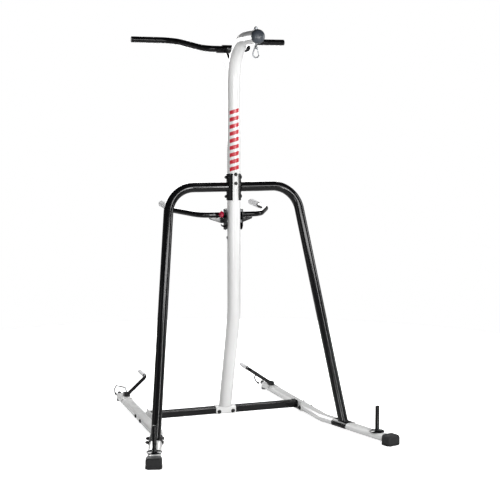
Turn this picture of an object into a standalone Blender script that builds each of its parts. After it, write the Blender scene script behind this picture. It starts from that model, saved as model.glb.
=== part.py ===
"""Free-standing training stand: bag arm, pull-up bar, dip bar, push-up handles and weight pegs.

Metres, +Z up, front of the stand toward -Y. The stand is mirror symmetric about x = 0.
"""
import math

import bmesh
import bpy
from mathutils import Matrix, Vector

# ---------------------------------------------------------------- driving dimensions
POST_Y = -0.12405        # depth of the upright post axis
CLEARANCE = 0.0003       # gap between pieces that touch
BORE_CLEARANCE = 0.0003  # radial gap of a bolt shank in its hole

POST_RADIUS = 0.036
POST_WALL = 0.0025
POST_SPLIT_Z = 1.320
SPIGOT_TOP_Z = 1.425     # narrowed top of the lower post, inside the upper post
ARM_Z = 2.123            # axis of the level arm
ARM_BEND_RADIUS = 0.218
ARM_REACH = 0.389
LOWER_BEND_Z = 0.625
LOWER_BEND_RADIUS = 0.42

CROSSBAR_Y = 0.170       # behind the post axis
CROSSBAR_Z = 0.047
CROSSBAR_DEPTH = 0.050
CROSSBAR_HEIGHT = 0.038
CROSSBAR_WALL = 0.0020
SOCKET_WALL = 0.0030
SOCKET_HALF_LENGTH = 0.059
SOCKET_BOLT_X = 0.041
SOCKET_BOLT_Z = 0.040

FRAME_RADIUS = 0.0265
FRAME_WALL = 0.0020
FRAME_Z = 1.333
FRAME_CORNER_X = 0.361
FRAME_FOOT = (0.533, -0.303, 0.050)
FRAME_BEND_RADIUS = 0.150
PLATE_HALF_HEIGHT = 0.073
PLATE_THICKNESS = 0.0040

LEG_HALF_WIDTH = 0.034
LEG_HALF_HEIGHT = 0.0180
LEG_WALL = 0.0020
LEG_Z = 0.0300
LEG_X = 0.478            # leg axis at the crossbar
LEG_BACK_Y = 0.752
LEG_TOE = math.radians(1.1)
LEG_BOLT_LIFT = 0.0035   # bolts across the legs sit just above the leg axis
LEG_FRONT = (0.645, -0.690)
LEG_SPLAY = math.radians(16.2)
LEG_BEND_RADIUS = 0.160

PEG_RADIUS = 0.0111
PEG_FLANGE_RADIUS = 0.0397
PEG_FLANGE_THICKNESS = 0.0045
PEG_TOP_Z = 0.188
PEG_BACK = 0.120         # from the front end of the leg

PULL_BAR_RADIUS = 0.0172
PULL_BAR_CENTRE = (0.120, 2.086)
PULL_BAR_END = (0.457, 0.447, 2.149)
PULL_BAR_CORNER_X = 0.215
PULL_BAR_BEND_X = 0.125

DIP_BAR_RADIUS = 0.0150
DIP_GRIP_RADIUS = 0.0180
DIP_BAR_Z = 1.176
DIP_HANDLE_X = 0.276
DIP_HANDLE_BACK_Y = 0.503
DIP_HANDLE_RISE = 0.036  # grip end above the middle of the bar
DIP_TRAVEL = 0.130       # distance between the two pin holes

HANDLE_RADIUS = 0.0095
HANDLE_TOP_Z = 0.150
HANDLE_X = 0.3316
HANDLE_ROOT = (0.452, 0.648)
HANDLE_BEND_Y = 0.7005
HANDLE_GRIP_END_Y = 0.850

ROUND_SIDES = 20
BAR_SIDES = 14
BOLT_SIDES = 12
SIDES = (("left", -1.0), ("right", 1.0))


# ---------------------------------------------------------------- materials
def make_material(name, colour, roughness, metallic):
    material = bpy.data.materials.new(name)
    material.use_nodes = True
    shader = material.node_tree.nodes["Principled BSDF"]
    shader.inputs["Base Color"].default_value = (colour[0], colour[1], colour[2], 1.0)
    shader.inputs["Roughness"].default_value = roughness
    shader.inputs["Metallic"].default_value = metallic
    return material


def white_paint(name):
    return make_material(name + "_white_paint", (0.86, 0.86, 0.85), 0.25, 0.0)


def black_paint(name):
    return make_material(name + "_black_paint", (0.012, 0.012, 0.013), 0.22, 0.0)


def black_rubber(name):
    return make_material(name + "_black_rubber", (0.020, 0.020, 0.022), 0.75, 0.0)


def grey_foam(name):
    return make_material(name + "_grey_foam", (0.55, 0.55, 0.56), 0.85, 0.0)


def grey_plastic(name):
    return make_material(name + "_grey_plastic", (0.060, 0.070, 0.085), 0.35, 0.0)


def light_plastic(name):
    return make_material(name + "_light_plastic", (0.42, 0.43, 0.44), 0.45, 0.0)


def red_plastic(name):
    return make_material(name + "_red_plastic", (0.60, 0.02, 0.05), 0.35, 0.0)


def black_steel(name):
    return make_material(name + "_black_steel", (0.020, 0.020, 0.020), 0.40, 1.0)


def zinc_steel(name):
    return make_material(name + "_zinc_steel", (0.62, 0.63, 0.65), 0.28, 1.0)


# ---------------------------------------------------------------- mesh helpers
def finish_object(name, vertices, faces, material_maker, origin=(0.0, 0.0, 0.0), sharp=40.0):
    """Make one object whose origin is at the given point, with outward faces."""
    origin = Vector(origin)
    mesh = bpy.data.meshes.new(name)
    mesh.from_pydata([tuple(Vector(point) - origin) for point in vertices], [], faces)
    work = bmesh.new()
    work.from_mesh(mesh)
    bmesh.ops.recalc_face_normals(work, faces=work.faces)
    if work.calc_volume(signed=True) < 0.0:
        bmesh.ops.reverse_faces(work, faces=work.faces)
    work.to_mesh(mesh)
    work.free()
    mesh.shade_smooth()
    mesh.set_sharp_from_angle(angle=math.radians(sharp))
    mesh.materials.append(material_maker(name))
    node = bpy.data.objects.new(name, mesh)
    node.location = origin
    bpy.context.collection.objects.link(node)
    return node


def loft(name, rings, material_maker, closed_loop=False, origin=(0.0, 0.0, 0.0), sharp=40.0):
    """Skin a list of equal rings; the ends are capped unless the rings form a loop."""
    count = len(rings[0])
    vertices = [point for ring in rings for point in ring]
    faces = []
    total = len(rings)
    spans = total if closed_loop else total - 1
    for index in range(spans):
        first = index * count
        second = ((index + 1) % total) * count
        for corner in range(count):
            following = (corner + 1) % count
            faces.append((first + corner, first + following, second + following, second + corner))
    if not closed_loop:
        faces.append(tuple(range(count))[::-1])
        faces.append(tuple((total - 1) * count + corner for corner in range(count)))
    return finish_object(name, vertices, faces, material_maker, origin, sharp)


def circle_profile(radius, sides):
    return [
        (radius * math.cos(2.0 * math.pi * step / sides), radius * math.sin(2.0 * math.pi * step / sides))
        for step in range(sides)
    ]


def rounded_box_profile(half_width, half_height, corner, steps=3):
    """Rounded rectangle, counter-clockwise; a corner equal to the half height gives a flat oval."""
    points = []
    centres = (
        (half_width - corner, half_height - corner, 0.0),
        (-half_width + corner, half_height - corner, 90.0),
        (-half_width + corner, -half_height + corner, 180.0),
        (half_width - corner, -half_height + corner, 270.0),
    )
    for centre_u, centre_v, start in centres:
        for step in range(steps + 1):
            angle = math.radians(start + 90.0 * step / steps)
            points.append((centre_u + corner * math.cos(angle), centre_v + corner * math.sin(angle)))
    return points


def rounded_path(corners, radii, steps):
    """Polyline through corner points with each inner corner replaced by an arc."""
    corners = [Vector(point) for point in corners]
    path = [corners[0]]
    for index in range(1, len(corners) - 1):
        corner = corners[index]
        before = (corners[index - 1] - corner).normalized()
        after = (corners[index + 1] - corner).normalized()
        turn = math.pi - before.angle(after)
        setback = radii[index - 1] * math.tan(turn / 2.0)
        centre_direction = (before + after).normalized()
        centre = corner + centre_direction * (radii[index - 1] / math.cos(turn / 2.0))
        start = corner + before * setback - centre
        axis = start.cross(corner + after * setback - centre).normalized()
        for step in range(steps + 1):
            path.append(centre + Matrix.Rotation(turn * step / steps, 3, axis) @ start)
    path.append(corners[-1])
    return path


def path_frames(path, up=None):
    """A (centre, side, lift) frame at each path point, carried along without twist."""
    frames = []
    last_side = None
    for index, point in enumerate(path):
        ahead = path[min(index + 1, len(path) - 1)] - path[max(index - 1, 0)]
        if 0 < index < len(path) - 1:
            incoming = (path[index] - path[index - 1]).normalized()
            outgoing = (path[index + 1] - path[index]).normalized()
            ahead = incoming + outgoing
        tangent = ahead.normalized()
        if up is not None:
            side = tangent.cross(Vector(up)).normalized()
        elif last_side is None:
            helper = Vector((0.0, 0.0, 1.0)) if abs(tangent.z) < 0.9 else Vector((0.0, 1.0, 0.0))
            side = tangent.cross(helper).normalized()
        else:
            side = (last_side - tangent * last_side.dot(tangent)).normalized()
        last_side = side
        frames.append((point, side, side.cross(tangent).normalized()))
    return frames


def place_profile(frame, profile):
    centre, side, lift = frame
    return [centre + side * across + lift * above for across, above in profile]


def bar(name, path, profile, material_maker, up=None):
    """Solid bar along a path."""
    rings = [place_profile(frame, profile) for frame in path_frames(path, up)]
    return loft(name, rings, material_maker)


def tube(name, path, outer, inner, material_maker, up=None):
    """Hollow tube along a path, open at both ends."""
    frames = path_frames(path, up)
    rings = [place_profile(frame, outer) for frame in frames]
    rings += [place_profile(frame, inner) for frame in reversed(frames)]
    return loft(name, rings, material_maker, closed_loop=True)


def extrude(name, outline, start, along, side, lift, length, material_maker, sharp=40.0):
    """Push a flat outline a given length along a direction."""
    start = Vector(start)
    along = Vector(along).normalized()
    side = Vector(side)
    lift = Vector(lift)
    near = [start + side * across + lift * above for across, above in outline]
    far = [point + along * length for point in near]
    return loft(name, [near, far], material_maker, sharp=sharp)


def arc_band(inner, outer, first_angle, last_angle, steps):
    """Outline of a curved strip between two radii, angles in degrees."""
    angles = [math.radians(first_angle + (last_angle - first_angle) * step / steps) for step in range(steps + 1)]
    outside = [(outer * math.cos(angle), outer * math.sin(angle)) for angle in angles]
    inside = [(inner * math.cos(angle), inner * math.sin(angle)) for angle in reversed(angles)]
    return outside + inside


def turned(name, origin, axis, stations, sides, material_maker, joint_origin=(0.0, 0.0, 0.0), sharp=40.0):
    """Round piece along an axis from (distance, radius) stations."""
    axis = Vector(axis).normalized()
    helper = Vector((0.0, 0.0, 1.0)) if abs(axis.z) < 0.9 else Vector((0.0, 1.0, 0.0))
    side = axis.cross(helper).normalized()
    lift = side.cross(axis).normalized()
    rings = []
    for distance, radius in stations:
        centre = Vector(origin) + axis * distance
        rings.append([centre + side * across + lift * above for across, above in circle_profile(radius, sides)])
    return loft(name, rings, material_maker, origin=joint_origin, sharp=sharp)


def hex_ring(radius):
    """Twelve points on a hexagon: its corners and the middles of its flats."""
    flat = radius * math.cos(math.pi / 6.0)
    return [
        (
            (radius if step % 2 == 0 else flat) * math.cos(math.pi * step / 6.0),
            (radius if step % 2 == 0 else flat) * math.sin(math.pi * step / 6.0),
        )
        for step in range(BOLT_SIDES)
    ]


def through_bolt(name, head_face, direction, grip, shank, head_radius, material_maker, nut_length=None):
    """Domed bolt head, shank and hexagon nut in one body; grip is the clamped thickness."""
    axis = Vector(direction).normalized()
    helper = Vector((0.0, 0.0, 1.0)) if abs(axis.z) < 0.9 else Vector((0.0, 1.0, 0.0))
    side = axis.cross(helper).normalized()
    lift = side.cross(axis).normalized()
    head = head_radius * 0.62
    nut = nut_length or shank * 1.7
    stations = [
        (-head, circle_profile(head_radius * 0.45, BOLT_SIDES)),
        (-head * 0.80, circle_profile(head_radius * 0.80, BOLT_SIDES)),
        (-head * 0.35, circle_profile(head_radius, BOLT_SIDES)),
        (-CLEARANCE, circle_profile(head_radius, BOLT_SIDES)),
        (-CLEARANCE, circle_profile(shank, BOLT_SIDES)),
        (grip + CLEARANCE, circle_profile(shank, BOLT_SIDES)),
        (grip + CLEARANCE, hex_ring(shank * 2.0)),
        (grip + nut, hex_ring(shank * 2.0)),
        (grip + nut, circle_profile(shank * 0.9, BOLT_SIDES)),
        (grip + nut + shank * 0.8, circle_profile(shank * 0.8, BOLT_SIDES)),
    ]
    rings = []
    for distance, profile in stations:
        centre = Vector(head_face) + axis * distance
        rings.append([centre + side * across + lift * above for across, above in profile])
    return loft(name, rings, material_maker)


def screw(name, head_face, direction, length, shank, head_radius, material_maker):
    """Domed screw that ends inside the piece it holds."""
    head = head_radius * 0.60
    stations = (
        (-head, head_radius * 0.45),
        (-head * 0.80, head_radius * 0.80),
        (-head * 0.35, head_radius),
        (-CLEARANCE, head_radius),
        (-CLEARANCE, shank),
        (length, shank),
    )
    return turned(name, head_face, direction, stations, BOLT_SIDES, material_maker)


def drill(nodes, start, end, radius):
    """Cut one straight round hole through each of the nodes."""
    start = Vector(start)
    end = Vector(end)
    cutter = turned(
        "drill_cutter", start, end - start, ((0.0, radius), ((end - start).length, radius)), BOLT_SIDES, black_steel
    )
    cut(nodes, cutter)


def combine(node, tool, operation):
    """Apply one exact boolean to a node and keep only the node's own material."""
    modifier = node.modifiers.new("combine", "BOOLEAN")
    modifier.operation = operation
    modifier.solver = "EXACT"
    modifier.object = tool
    graph = bpy.context.evaluated_depsgraph_get()
    shape = bpy.data.meshes.new_from_object(node.evaluated_get(graph))
    node.modifiers.remove(modifier)
    old = node.data
    name = old.name
    node.data = shape
    bpy.data.meshes.remove(old)
    node.data.name = name
    for face in node.data.polygons:
        face.material_index = 0
    while len(node.data.materials) > 1:
        node.data.materials.pop()


def cut(nodes, cutter):
    """Subtract the cutter from each node and drop the cutter."""
    for node in nodes:
        combine(node, cutter, "DIFFERENCE")
    bpy.data.objects.remove(cutter, do_unlink=True)


def weld(node, pieces):
    """Join welded pieces to a node as one body."""
    for piece in pieces:
        combine(node, piece, "UNION")
        bpy.data.objects.remove(piece, do_unlink=True)


def at_post(x, y, z):
    """World point from a point measured from the post axis."""
    return Vector((x, y + POST_Y, z))


def leg_axis_point(side, back_from_front):
    """Point on the axis of the splayed front part of a base leg."""
    x = LEG_FRONT[0] - math.sin(LEG_SPLAY) * back_from_front
    y = LEG_FRONT[1] + math.cos(LEG_SPLAY) * back_from_front
    return at_post(side * x, y, LEG_Z)


def rear_direction(side):
    """Unit vector along the rear part of a leg, front to back, turned slightly inward."""
    return Vector((-side * math.sin(LEG_TOE), math.cos(LEG_TOE), 0.0))


def rear_point(side, y):
    """Point on the axis of the rear part of a leg at a depth behind the post axis."""
    x = LEG_X - math.tan(LEG_TOE) * (y - CROSSBAR_Y)
    return at_post(side * x, y, LEG_Z)


def leg_corner(side):
    """Where the axes of the front and rear parts of a leg cross."""
    splay = math.tan(LEG_SPLAY)
    toe = math.tan(LEG_TOE)
    shared = LEG_FRONT[0] + splay * LEG_FRONT[1] - LEG_X - toe * CROSSBAR_Y
    y = shared / (splay - toe)
    return rear_point(side, y)


def leg_direction(side):
    """Unit vector from back to front along the splayed part of a leg."""
    return Vector((side * math.sin(LEG_SPLAY), -math.cos(LEG_SPLAY), 0.0))


# ---------------------------------------------------------------- upright post
def upper_post_path():
    corners = (
        at_post(0.0, 0.0, POST_SPLIT_Z + CLEARANCE),
        at_post(0.0, 0.0, ARM_Z),
        at_post(0.0, -ARM_REACH, ARM_Z),
    )
    return rounded_path(corners, (ARM_BEND_RADIUS,), 9)


def build_posts():
    outer = circle_profile(POST_RADIUS, ROUND_SIDES)
    inner = circle_profile(POST_RADIUS - POST_WALL, ROUND_SIDES)
    upper = tube("upper_post", upper_post_path(), outer, inner, white_paint, up=(1.0, 0.0, 0.0))

    foot_z = CROSSBAR_Z + CROSSBAR_HEIGHT / 2.0 + CLEARANCE * 2.0 + SOCKET_WALL
    foot_y = CROSSBAR_Y * (LOWER_BEND_Z - foot_z) / (LOWER_BEND_Z - CROSSBAR_Z)
    corners = (
        at_post(0.0, 0.0, POST_SPLIT_Z),
        at_post(0.0, 0.0, LOWER_BEND_Z),
        at_post(0.0, foot_y, foot_z),
    )
    path = rounded_path(corners, (LOWER_BEND_RADIUS,), 3)
    frames = path_frames(path, up=(1.0, 0.0, 0.0))
    slope = (path[-1] - path[-2]).normalized()
    rings = []
    for profile, order in ((outer, 1), (inner, -1)):
        part = [place_profile(frame, profile) for frame in frames]
        level = []
        for point in part[-1]:
            level.append(point + slope * ((foot_z - point.z) / slope.z))
        part[-1] = level
        rings += part[::order]
    spigot = POST_RADIUS - POST_WALL - CLEARANCE
    for height, radius in (
        (POST_SPLIT_Z - 0.012, spigot - POST_WALL),
        (SPIGOT_TOP_Z, spigot - POST_WALL),
        (SPIGOT_TOP_Z, spigot),
        (POST_SPLIT_Z, spigot),
    ):
        frame = (at_post(0.0, 0.0, height), frames[0][1], frames[0][2])
        rings.append(place_profile(frame, circle_profile(radius, ROUND_SIDES)))
    inner_top = len(rings) - 5
    rings[inner_top] = [point - Vector((0.0, 0.0, 0.020)) for point in rings[inner_top]]
    lower = loft("lower_post", rings, white_paint, closed_loop=True)
    return upper, lower


def build_foot_socket():
    half_depth = CROSSBAR_DEPTH / 2.0
    half_height = CROSSBAR_HEIGHT / 2.0
    inner = rounded_box_profile(half_depth + CLEARANCE, half_height + CLEARANCE, 0.006)
    outer_half_depth = half_depth + CLEARANCE + SOCKET_WALL
    outer_half_height = half_height + CLEARANCE + SOCKET_WALL
    outer = rounded_box_profile(outer_half_depth, outer_half_height, 0.009)
    path = [
        at_post(-SOCKET_HALF_LENGTH, CROSSBAR_Y, CROSSBAR_Z),
        at_post(SOCKET_HALF_LENGTH, CROSSBAR_Y, CROSSBAR_Z),
    ]
    return tube("post_foot_socket", path, outer, inner, white_paint, up=(0.0, 0.0, 1.0))


def build_arm_end():
    end = at_post(0.0, -ARM_REACH, ARM_Z)
    stub = POST_RADIUS - POST_WALL - CLEARANCE
    stations = (
        (-0.016, stub * 0.97),
        (CLEARANCE, stub),
        (CLEARANCE, POST_RADIUS + 0.0008),
        (0.006, POST_RADIUS + 0.0008),
        (0.016, POST_RADIUS * 0.90),
        (0.024, POST_RADIUS * 0.68),
        (0.029, POST_RADIUS * 0.38),
        (0.031, POST_RADIUS * 0.10),
    )
    turned("arm_end_cap", end, (0, -1, 0), stations, ROUND_SIDES, grey_plastic)


# ---------------------------------------------------------------- bag hanging hardware
HOOK_BOLT_Y = -0.363
HOOK_BOLT_RADIUS = 0.0050
HOOK_BOLT_TAIL = 0.017   # thread standing above the arm
EYE_RADIUS = 0.0095
EYE_WIRE = 0.0035
EYE_DROP = 0.0040        # end of the shank below the arm
SNAP_WIRE = 0.0033
SNAP_TOP_RADIUS = 0.0086
SNAP_BELLY = 0.0162
SNAP_BELLY_DROP = 0.0295
SNAP_GATE_GAP = 0.0030


def build_hanging_hardware(upper):
    bottom = ARM_Z - POST_RADIUS
    top = ARM_Z + POST_RADIUS
    centre = at_post(0.0, HOOK_BOLT_Y, 0.0)
    drill([upper], centre + Vector((0, 0, bottom - 0.02)), centre + Vector((0, 0, top + 0.02)),
          HOOK_BOLT_RADIUS + BORE_CLEARANCE)

    shank_bottom = bottom - EYE_DROP
    eye_centre = centre + Vector((0.0, 0.0, shank_bottom - EYE_RADIUS - EYE_WIRE * 0.2))
    path = [centre + Vector((0.0, 0.0, top + HOOK_BOLT_TAIL)), centre + Vector((0.0, 0.0, shank_bottom - 0.001))]
    turns = 14
    for step in range(turns):
        angle = math.radians(90.0 - 330.0 * (step + 0.6) / turns)
        offset = Vector((0.0, math.cos(angle), math.sin(angle))) * EYE_RADIUS
        path.append(eye_centre + offset)
    frames = path_frames(path, up=(1.0, 0.0, 0.0))
    rings = []
    for index, frame in enumerate(frames):
        radius = HOOK_BOLT_RADIUS if index < 2 else EYE_WIRE
        rings.append(place_profile(frame, circle_profile(radius, 10)))
    loft("eye_bolt", rings, zinc_steel)

    seat = 0.0015
    washer_top = seat + 0.0022
    outer = hex_ring(0.0100)
    bore = circle_profile(HOOK_BOLT_RADIUS + CLEARANCE, BOLT_SIDES)
    washer = circle_profile(0.0125, BOLT_SIDES)
    washer_rings = []
    for height, profile in (
        (top + seat, bore),
        (top + seat, washer),
        (top + washer_top, washer),
        (top + washer_top, outer),
        (top + washer_top + 0.0085, outer),
        (top + washer_top + 0.0085, bore),
    ):
        washer_rings.append([centre + Vector((across, above, height)) for across, above in profile])
    loft("eye_bolt_nut", washer_rings, zinc_steel, closed_loop=True)

    build_snap_hook(eye_centre)


def build_snap_hook(eye_centre):
    """Pear-shaped spring hook hanging in the eye, in the plane across the arm."""
    pivot = eye_centre + Vector((0.0, 0.0, -EYE_RADIUS))
    outline = [(SNAP_TOP_RADIUS * 1.02, -0.0085)]
    for step in range(7):
        angle = math.radians(-8.0 + 196.0 * step / 6.0)
        outline.append((SNAP_TOP_RADIUS * math.cos(angle), SNAP_TOP_RADIUS * math.sin(angle)))
    outline.append((-SNAP_BELLY * 0.82, -0.0150))
    for step in range(9):
        angle = math.radians(172.0 + 180.0 * step / 8.0)
        outline.append((SNAP_BELLY * math.cos(angle), SNAP_BELLY * math.sin(angle) - SNAP_BELLY_DROP))
    path = [pivot + Vector((x, 0.0, z)) for x, z in outline]
    frames = path_frames(path, up=(0.0, 1.0, 0.0))
    rings = [place_profile(frame, circle_profile(SNAP_WIRE, 10)) for frame in frames]
    loft("snap_hook", rings, zinc_steel, origin=pivot, sharp=60.0)

    hinge = path[-1]
    reach = path[0] - hinge
    along = reach.normalized()
    gate_path = [hinge + along * SNAP_GATE_GAP, hinge + along * (reach.length - SNAP_GATE_GAP)]
    gate_frames = path_frames(gate_path, up=(0.0, 1.0, 0.0))
    gate_rings = [place_profile(frame, circle_profile(SNAP_WIRE * 0.80, 10)) for frame in gate_frames]
    loft("snap_hook_gate", gate_rings, zinc_steel, origin=gate_path[0])


# ---------------------------------------------------------------- pull-up bar
def build_pull_up_bar():
    centre_y, centre_z = PULL_BAR_CENTRE
    end_x, end_y, end_z = PULL_BAR_END
    corners = []
    for side in (-1.0, 1.0):
        half = [
            at_post(side * end_x, end_y, end_z),
            at_post(side * PULL_BAR_CORNER_X, end_y - 0.010, end_z - 0.002),
            at_post(side * PULL_BAR_BEND_X, centre_y, centre_z),
        ]
        corners += half if side < 0 else half[::-1]
    path = rounded_path(corners, (0.110, 0.078, 0.078, 0.110), 4)
    tube(
        "pull_up_bar",
        path,
        circle_profile(PULL_BAR_RADIUS, BAR_SIDES),
        circle_profile(PULL_BAR_RADIUS - 0.002, BAR_SIDES),
        black_paint,
    )
    for label, side in SIDES:
        tip = path[0] if side < 0 else path[-1]
        near = path[1] if side < 0 else path[-2]
        build_bar_plug("pull_up_bar_plug_" + label, tip, (tip - near).normalized(), PULL_BAR_RADIUS - 0.002)
    build_pull_up_bracket()


def build_bar_plug(name, tip, direction, bore):
    stub = bore * math.cos(math.pi / BAR_SIDES) - CLEARANCE
    stations = (
        (-0.018, stub * 0.96),
        (CLEARANCE, stub),
        (CLEARANCE, bore + 0.0018),
        (0.0030, bore + 0.0014),
        (0.0042, bore * 0.80),
    )
    return turned(name, tip, direction, stations, BAR_SIDES, black_rubber)


GUSSET_LOW_Z = 1.880
GUSSET_TOP_Z = 2.032
GUSSET_THICKNESS = 0.008
CLAMP_WALL = 0.0040
CLAMP_REACH = 0.044


def clamp_outline(inner, wall, reach, steps=6):
    """Half-round trough with two flat ears, open side up, its flats clear of the given radius."""
    inner /= math.cos(math.pi / (2.0 * steps))
    outer = inner + wall
    start = math.asin(wall / outer)
    points = [(reach, -CLEARANCE), (reach, -wall)]
    for step in range(steps + 1):
        angle = -start - (math.pi - 2.0 * start) * step / steps
        points.append((outer * math.cos(angle), outer * math.sin(angle)))
    points += [(-reach, -wall), (-reach, -CLEARANCE)]
    edge = math.asin(CLEARANCE / inner)
    for step in range(steps + 1):
        angle = math.pi + edge + (math.pi - 2.0 * edge) * step / steps
        points.append((inner * math.cos(angle), inner * math.sin(angle)))
    return points


def bend_back_y(height):
    """Rear face of the bent post at a height above the start of the bend."""
    rise = height - (ARM_Z - ARM_BEND_RADIUS)
    return math.sqrt((ARM_BEND_RADIUS + POST_RADIUS) ** 2 - rise * rise) - ARM_BEND_RADIUS


def build_pull_up_bracket():
    centre_y, centre_z = PULL_BAR_CENTRE
    post_back = POST_RADIUS + CLEARANCE
    outline = [(bend_back_y(height) + 0.0015, height) for height in (GUSSET_TOP_Z, 1.990, 1.945)]
    outline += [
        (post_back, ARM_Z - ARM_BEND_RADIUS),
        (post_back, GUSSET_LOW_Z),
        (0.058, 1.905),
        (0.100, 1.970),
        (0.134, 2.010),
        (0.144, GUSSET_TOP_Z),
    ]
    extrude("pull_up_gusset", outline, at_post(-GUSSET_THICKNESS / 2.0, 0.0, 0.0), (1, 0, 0), (0, 1, 0),
            (0, 0, 1), GUSSET_THICKNESS, white_paint)

    inner = PULL_BAR_RADIUS + CLEARANCE
    trough = clamp_outline(inner, CLAMP_WALL, CLAMP_REACH)
    cradle = extrude("pull_up_cradle", trough, at_post(-0.062, centre_y, centre_z), (1, 0, 0), (0, 1, 0),
                     (0, 0, 1), 0.124, black_paint)
    web_top = centre_z - inner - CLAMP_WALL * 0.5
    web = [(-0.046, GUSSET_TOP_Z + CLEARANCE), (0.028, GUSSET_TOP_Z + CLEARANCE), (0.010, web_top),
           (-0.010, web_top)]
    web = [(across + centre_y, above) for across, above in web]
    weld(cradle, [extrude("cradle_web", web, at_post(-0.007, 0.0, 0.0), (1, 0, 0), (0, 1, 0), (0, 0, 1),
                          0.014, black_paint)])
    cover = [(across, -above) for across, above in trough]
    strap = extrude("pull_up_strap", cover, at_post(-0.030, centre_y, centre_z), (1, 0, 0), (0, 1, 0),
                    (0, 0, 1), 0.060, black_paint)
    for label, across in (("front", -1.0), ("back", 1.0)):
        spot = at_post(0.0, centre_y + across * (inner + CLAMP_WALL + 0.0105), centre_z)
        drill([cradle, strap], spot + Vector((0, 0, -0.02)), spot + Vector((0, 0, 0.02)),
              0.0040 + BORE_CLEARANCE)
        through_bolt("pull_up_strap_bolt_" + label, spot + Vector((0, 0, CLAMP_WALL)), (0, 0, -1),
                     CLAMP_WALL * 2.0, 0.0040, 0.0080, black_steel)


# ---------------------------------------------------------------- leaning frame
def build_frame():
    """Two welded halves: bent tube, post plate and trough-shaped leg saddle."""
    foot = Vector(FRAME_FOOT)
    bury = POST_RADIUS + CLEARANCE + PLATE_THICKNESS * 0.5
    halves = []
    for label, side in SIDES:
        corners = (
            at_post(side * 0.020, 0.0, FRAME_Z),
            at_post(side * FRAME_CORNER_X, 0.008, FRAME_Z),
            at_post(side * foot.x, foot.y, foot.z),
        )
        path = rounded_path(corners, (FRAME_BEND_RADIUS,), 7)
        half = tube(
            "frame_half_" + label,
            path,
            circle_profile(FRAME_RADIUS, ROUND_SIDES),
            circle_profile(FRAME_RADIUS - FRAME_WALL, ROUND_SIDES),
            black_paint,
        )
        cope = turned("cope", at_post(0, 0, 1.2), (0, 0, 1), ((0.0, bury), (0.3, bury)), 40, black_steel)
        cut([half], cope)
        saddle = build_leg_saddle(label, side, half)
        weld(half, [build_post_plate(label, side), saddle])
        vent = at_post(side * (POST_RADIUS - 0.004), 0.0, FRAME_Z)
        drill([half], vent, vent + Vector((side * 0.020, 0.0, 0.0)), 0.0050)
        halves.append(half)
        drill_leg_saddle(label, side, half)
    return halves


def build_post_plate(label, side):
    """Curved plate that wraps one side of the post."""
    inner = POST_RADIUS + CLEARANCE
    outer = inner + PLATE_THICKNESS
    start, stop = (-64.0, 82.0)
    outline = arc_band(inner, outer, start, stop, 12)
    outline = [(side * across, above) for across, above in outline]
    return extrude("post_plate_" + label, outline, at_post(0, 0, FRAME_Z - PLATE_HALF_HEIGHT), (0, 0, 1),
                   (1, 0, 0), (0, 1, 0), PLATE_HALF_HEIGHT * 2.0, black_paint)


def leg_oval(extra, steps=5):
    return rounded_box_profile(LEG_HALF_WIDTH + extra, LEG_HALF_HEIGHT + extra, LEG_HALF_HEIGHT + extra, steps)


def half_oval_outline(gap, wall, low, steps=8):
    """Upside-down trough over a flat-oval tube, as an outline around its cross-section."""
    def side_points(extra):
        radius = LEG_HALF_HEIGHT + extra
        flat = LEG_HALF_WIDTH - LEG_HALF_HEIGHT
        start = math.asin(low / radius)
        points = []
        for step in range(steps + 1):
            angle = start + (math.pi / 2.0 - start) * step / steps
            points.append((flat + radius * math.cos(angle), radius * math.sin(angle)))
        for step in range(steps + 1):
            angle = math.pi / 2.0 + (math.pi / 2.0 - start) * step / steps
            points.append((-flat + radius * math.cos(angle), radius * math.sin(angle)))
        return points
    return side_points(gap + wall) + side_points(gap)[::-1]


SADDLE_BACK = 0.402      # saddle centre behind the front end of the leg
SADDLE_LENGTH = 0.118
SADDLE_BOLT_SPREAD = 0.039
SADDLE_WALL = 0.0032


def build_leg_saddle(label, side, half):
    direction = leg_direction(side)
    across = direction.cross(Vector((0, 0, 1)))
    centre = leg_axis_point(side, SADDLE_BACK)
    outline = half_oval_outline(CLEARANCE, SADDLE_WALL, -0.012)
    saddle = extrude("frame_saddle_" + label, outline, centre - direction * SADDLE_LENGTH / 2.0, direction,
                     across, (0, 0, 1), SADDLE_LENGTH, black_paint)
    solid = leg_oval(CLEARANCE + SADDLE_WALL * 0.5)
    start = centre - direction * 0.15
    cutter = extrude("cope_leg", solid, start, direction, across, (0, 0, 1), 0.30, black_steel)
    cut([half], cutter)
    floor = extrude("cope_floor", [(-0.2, -0.2), (0.2, -0.2), (0.2, 0.0), (-0.2, 0.0)],
                    start, direction, across, (0, 0, 1), 0.30, black_steel)
    cut([half], floor)
    return saddle


def drill_leg_saddle(label, side, saddle):
    leg = bpy.data.objects["base_leg_" + label]
    direction = leg_direction(side)
    across = direction.cross(Vector((0, 0, 1)))
    outward = across if across.x * side > 0 else -across
    reach = LEG_HALF_WIDTH + CLEARANCE + SADDLE_WALL
    for spot_label, offset in (("back", -SADDLE_BOLT_SPREAD), ("front", SADDLE_BOLT_SPREAD)):
        spot = leg_axis_point(side, SADDLE_BACK) + direction * offset + Vector((0, 0, LEG_BOLT_LIFT))
        drill([leg, saddle], spot + outward * (reach + 0.02), spot - outward * (reach + 0.02),
              0.0045 + BORE_CLEARANCE)
        through_bolt("saddle_bolt_%s_%s" % (spot_label, label), spot - outward * reach, outward,
                     reach * 2.0, 0.0045, 0.0085, black_steel, nut_length=0.0130)


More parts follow.
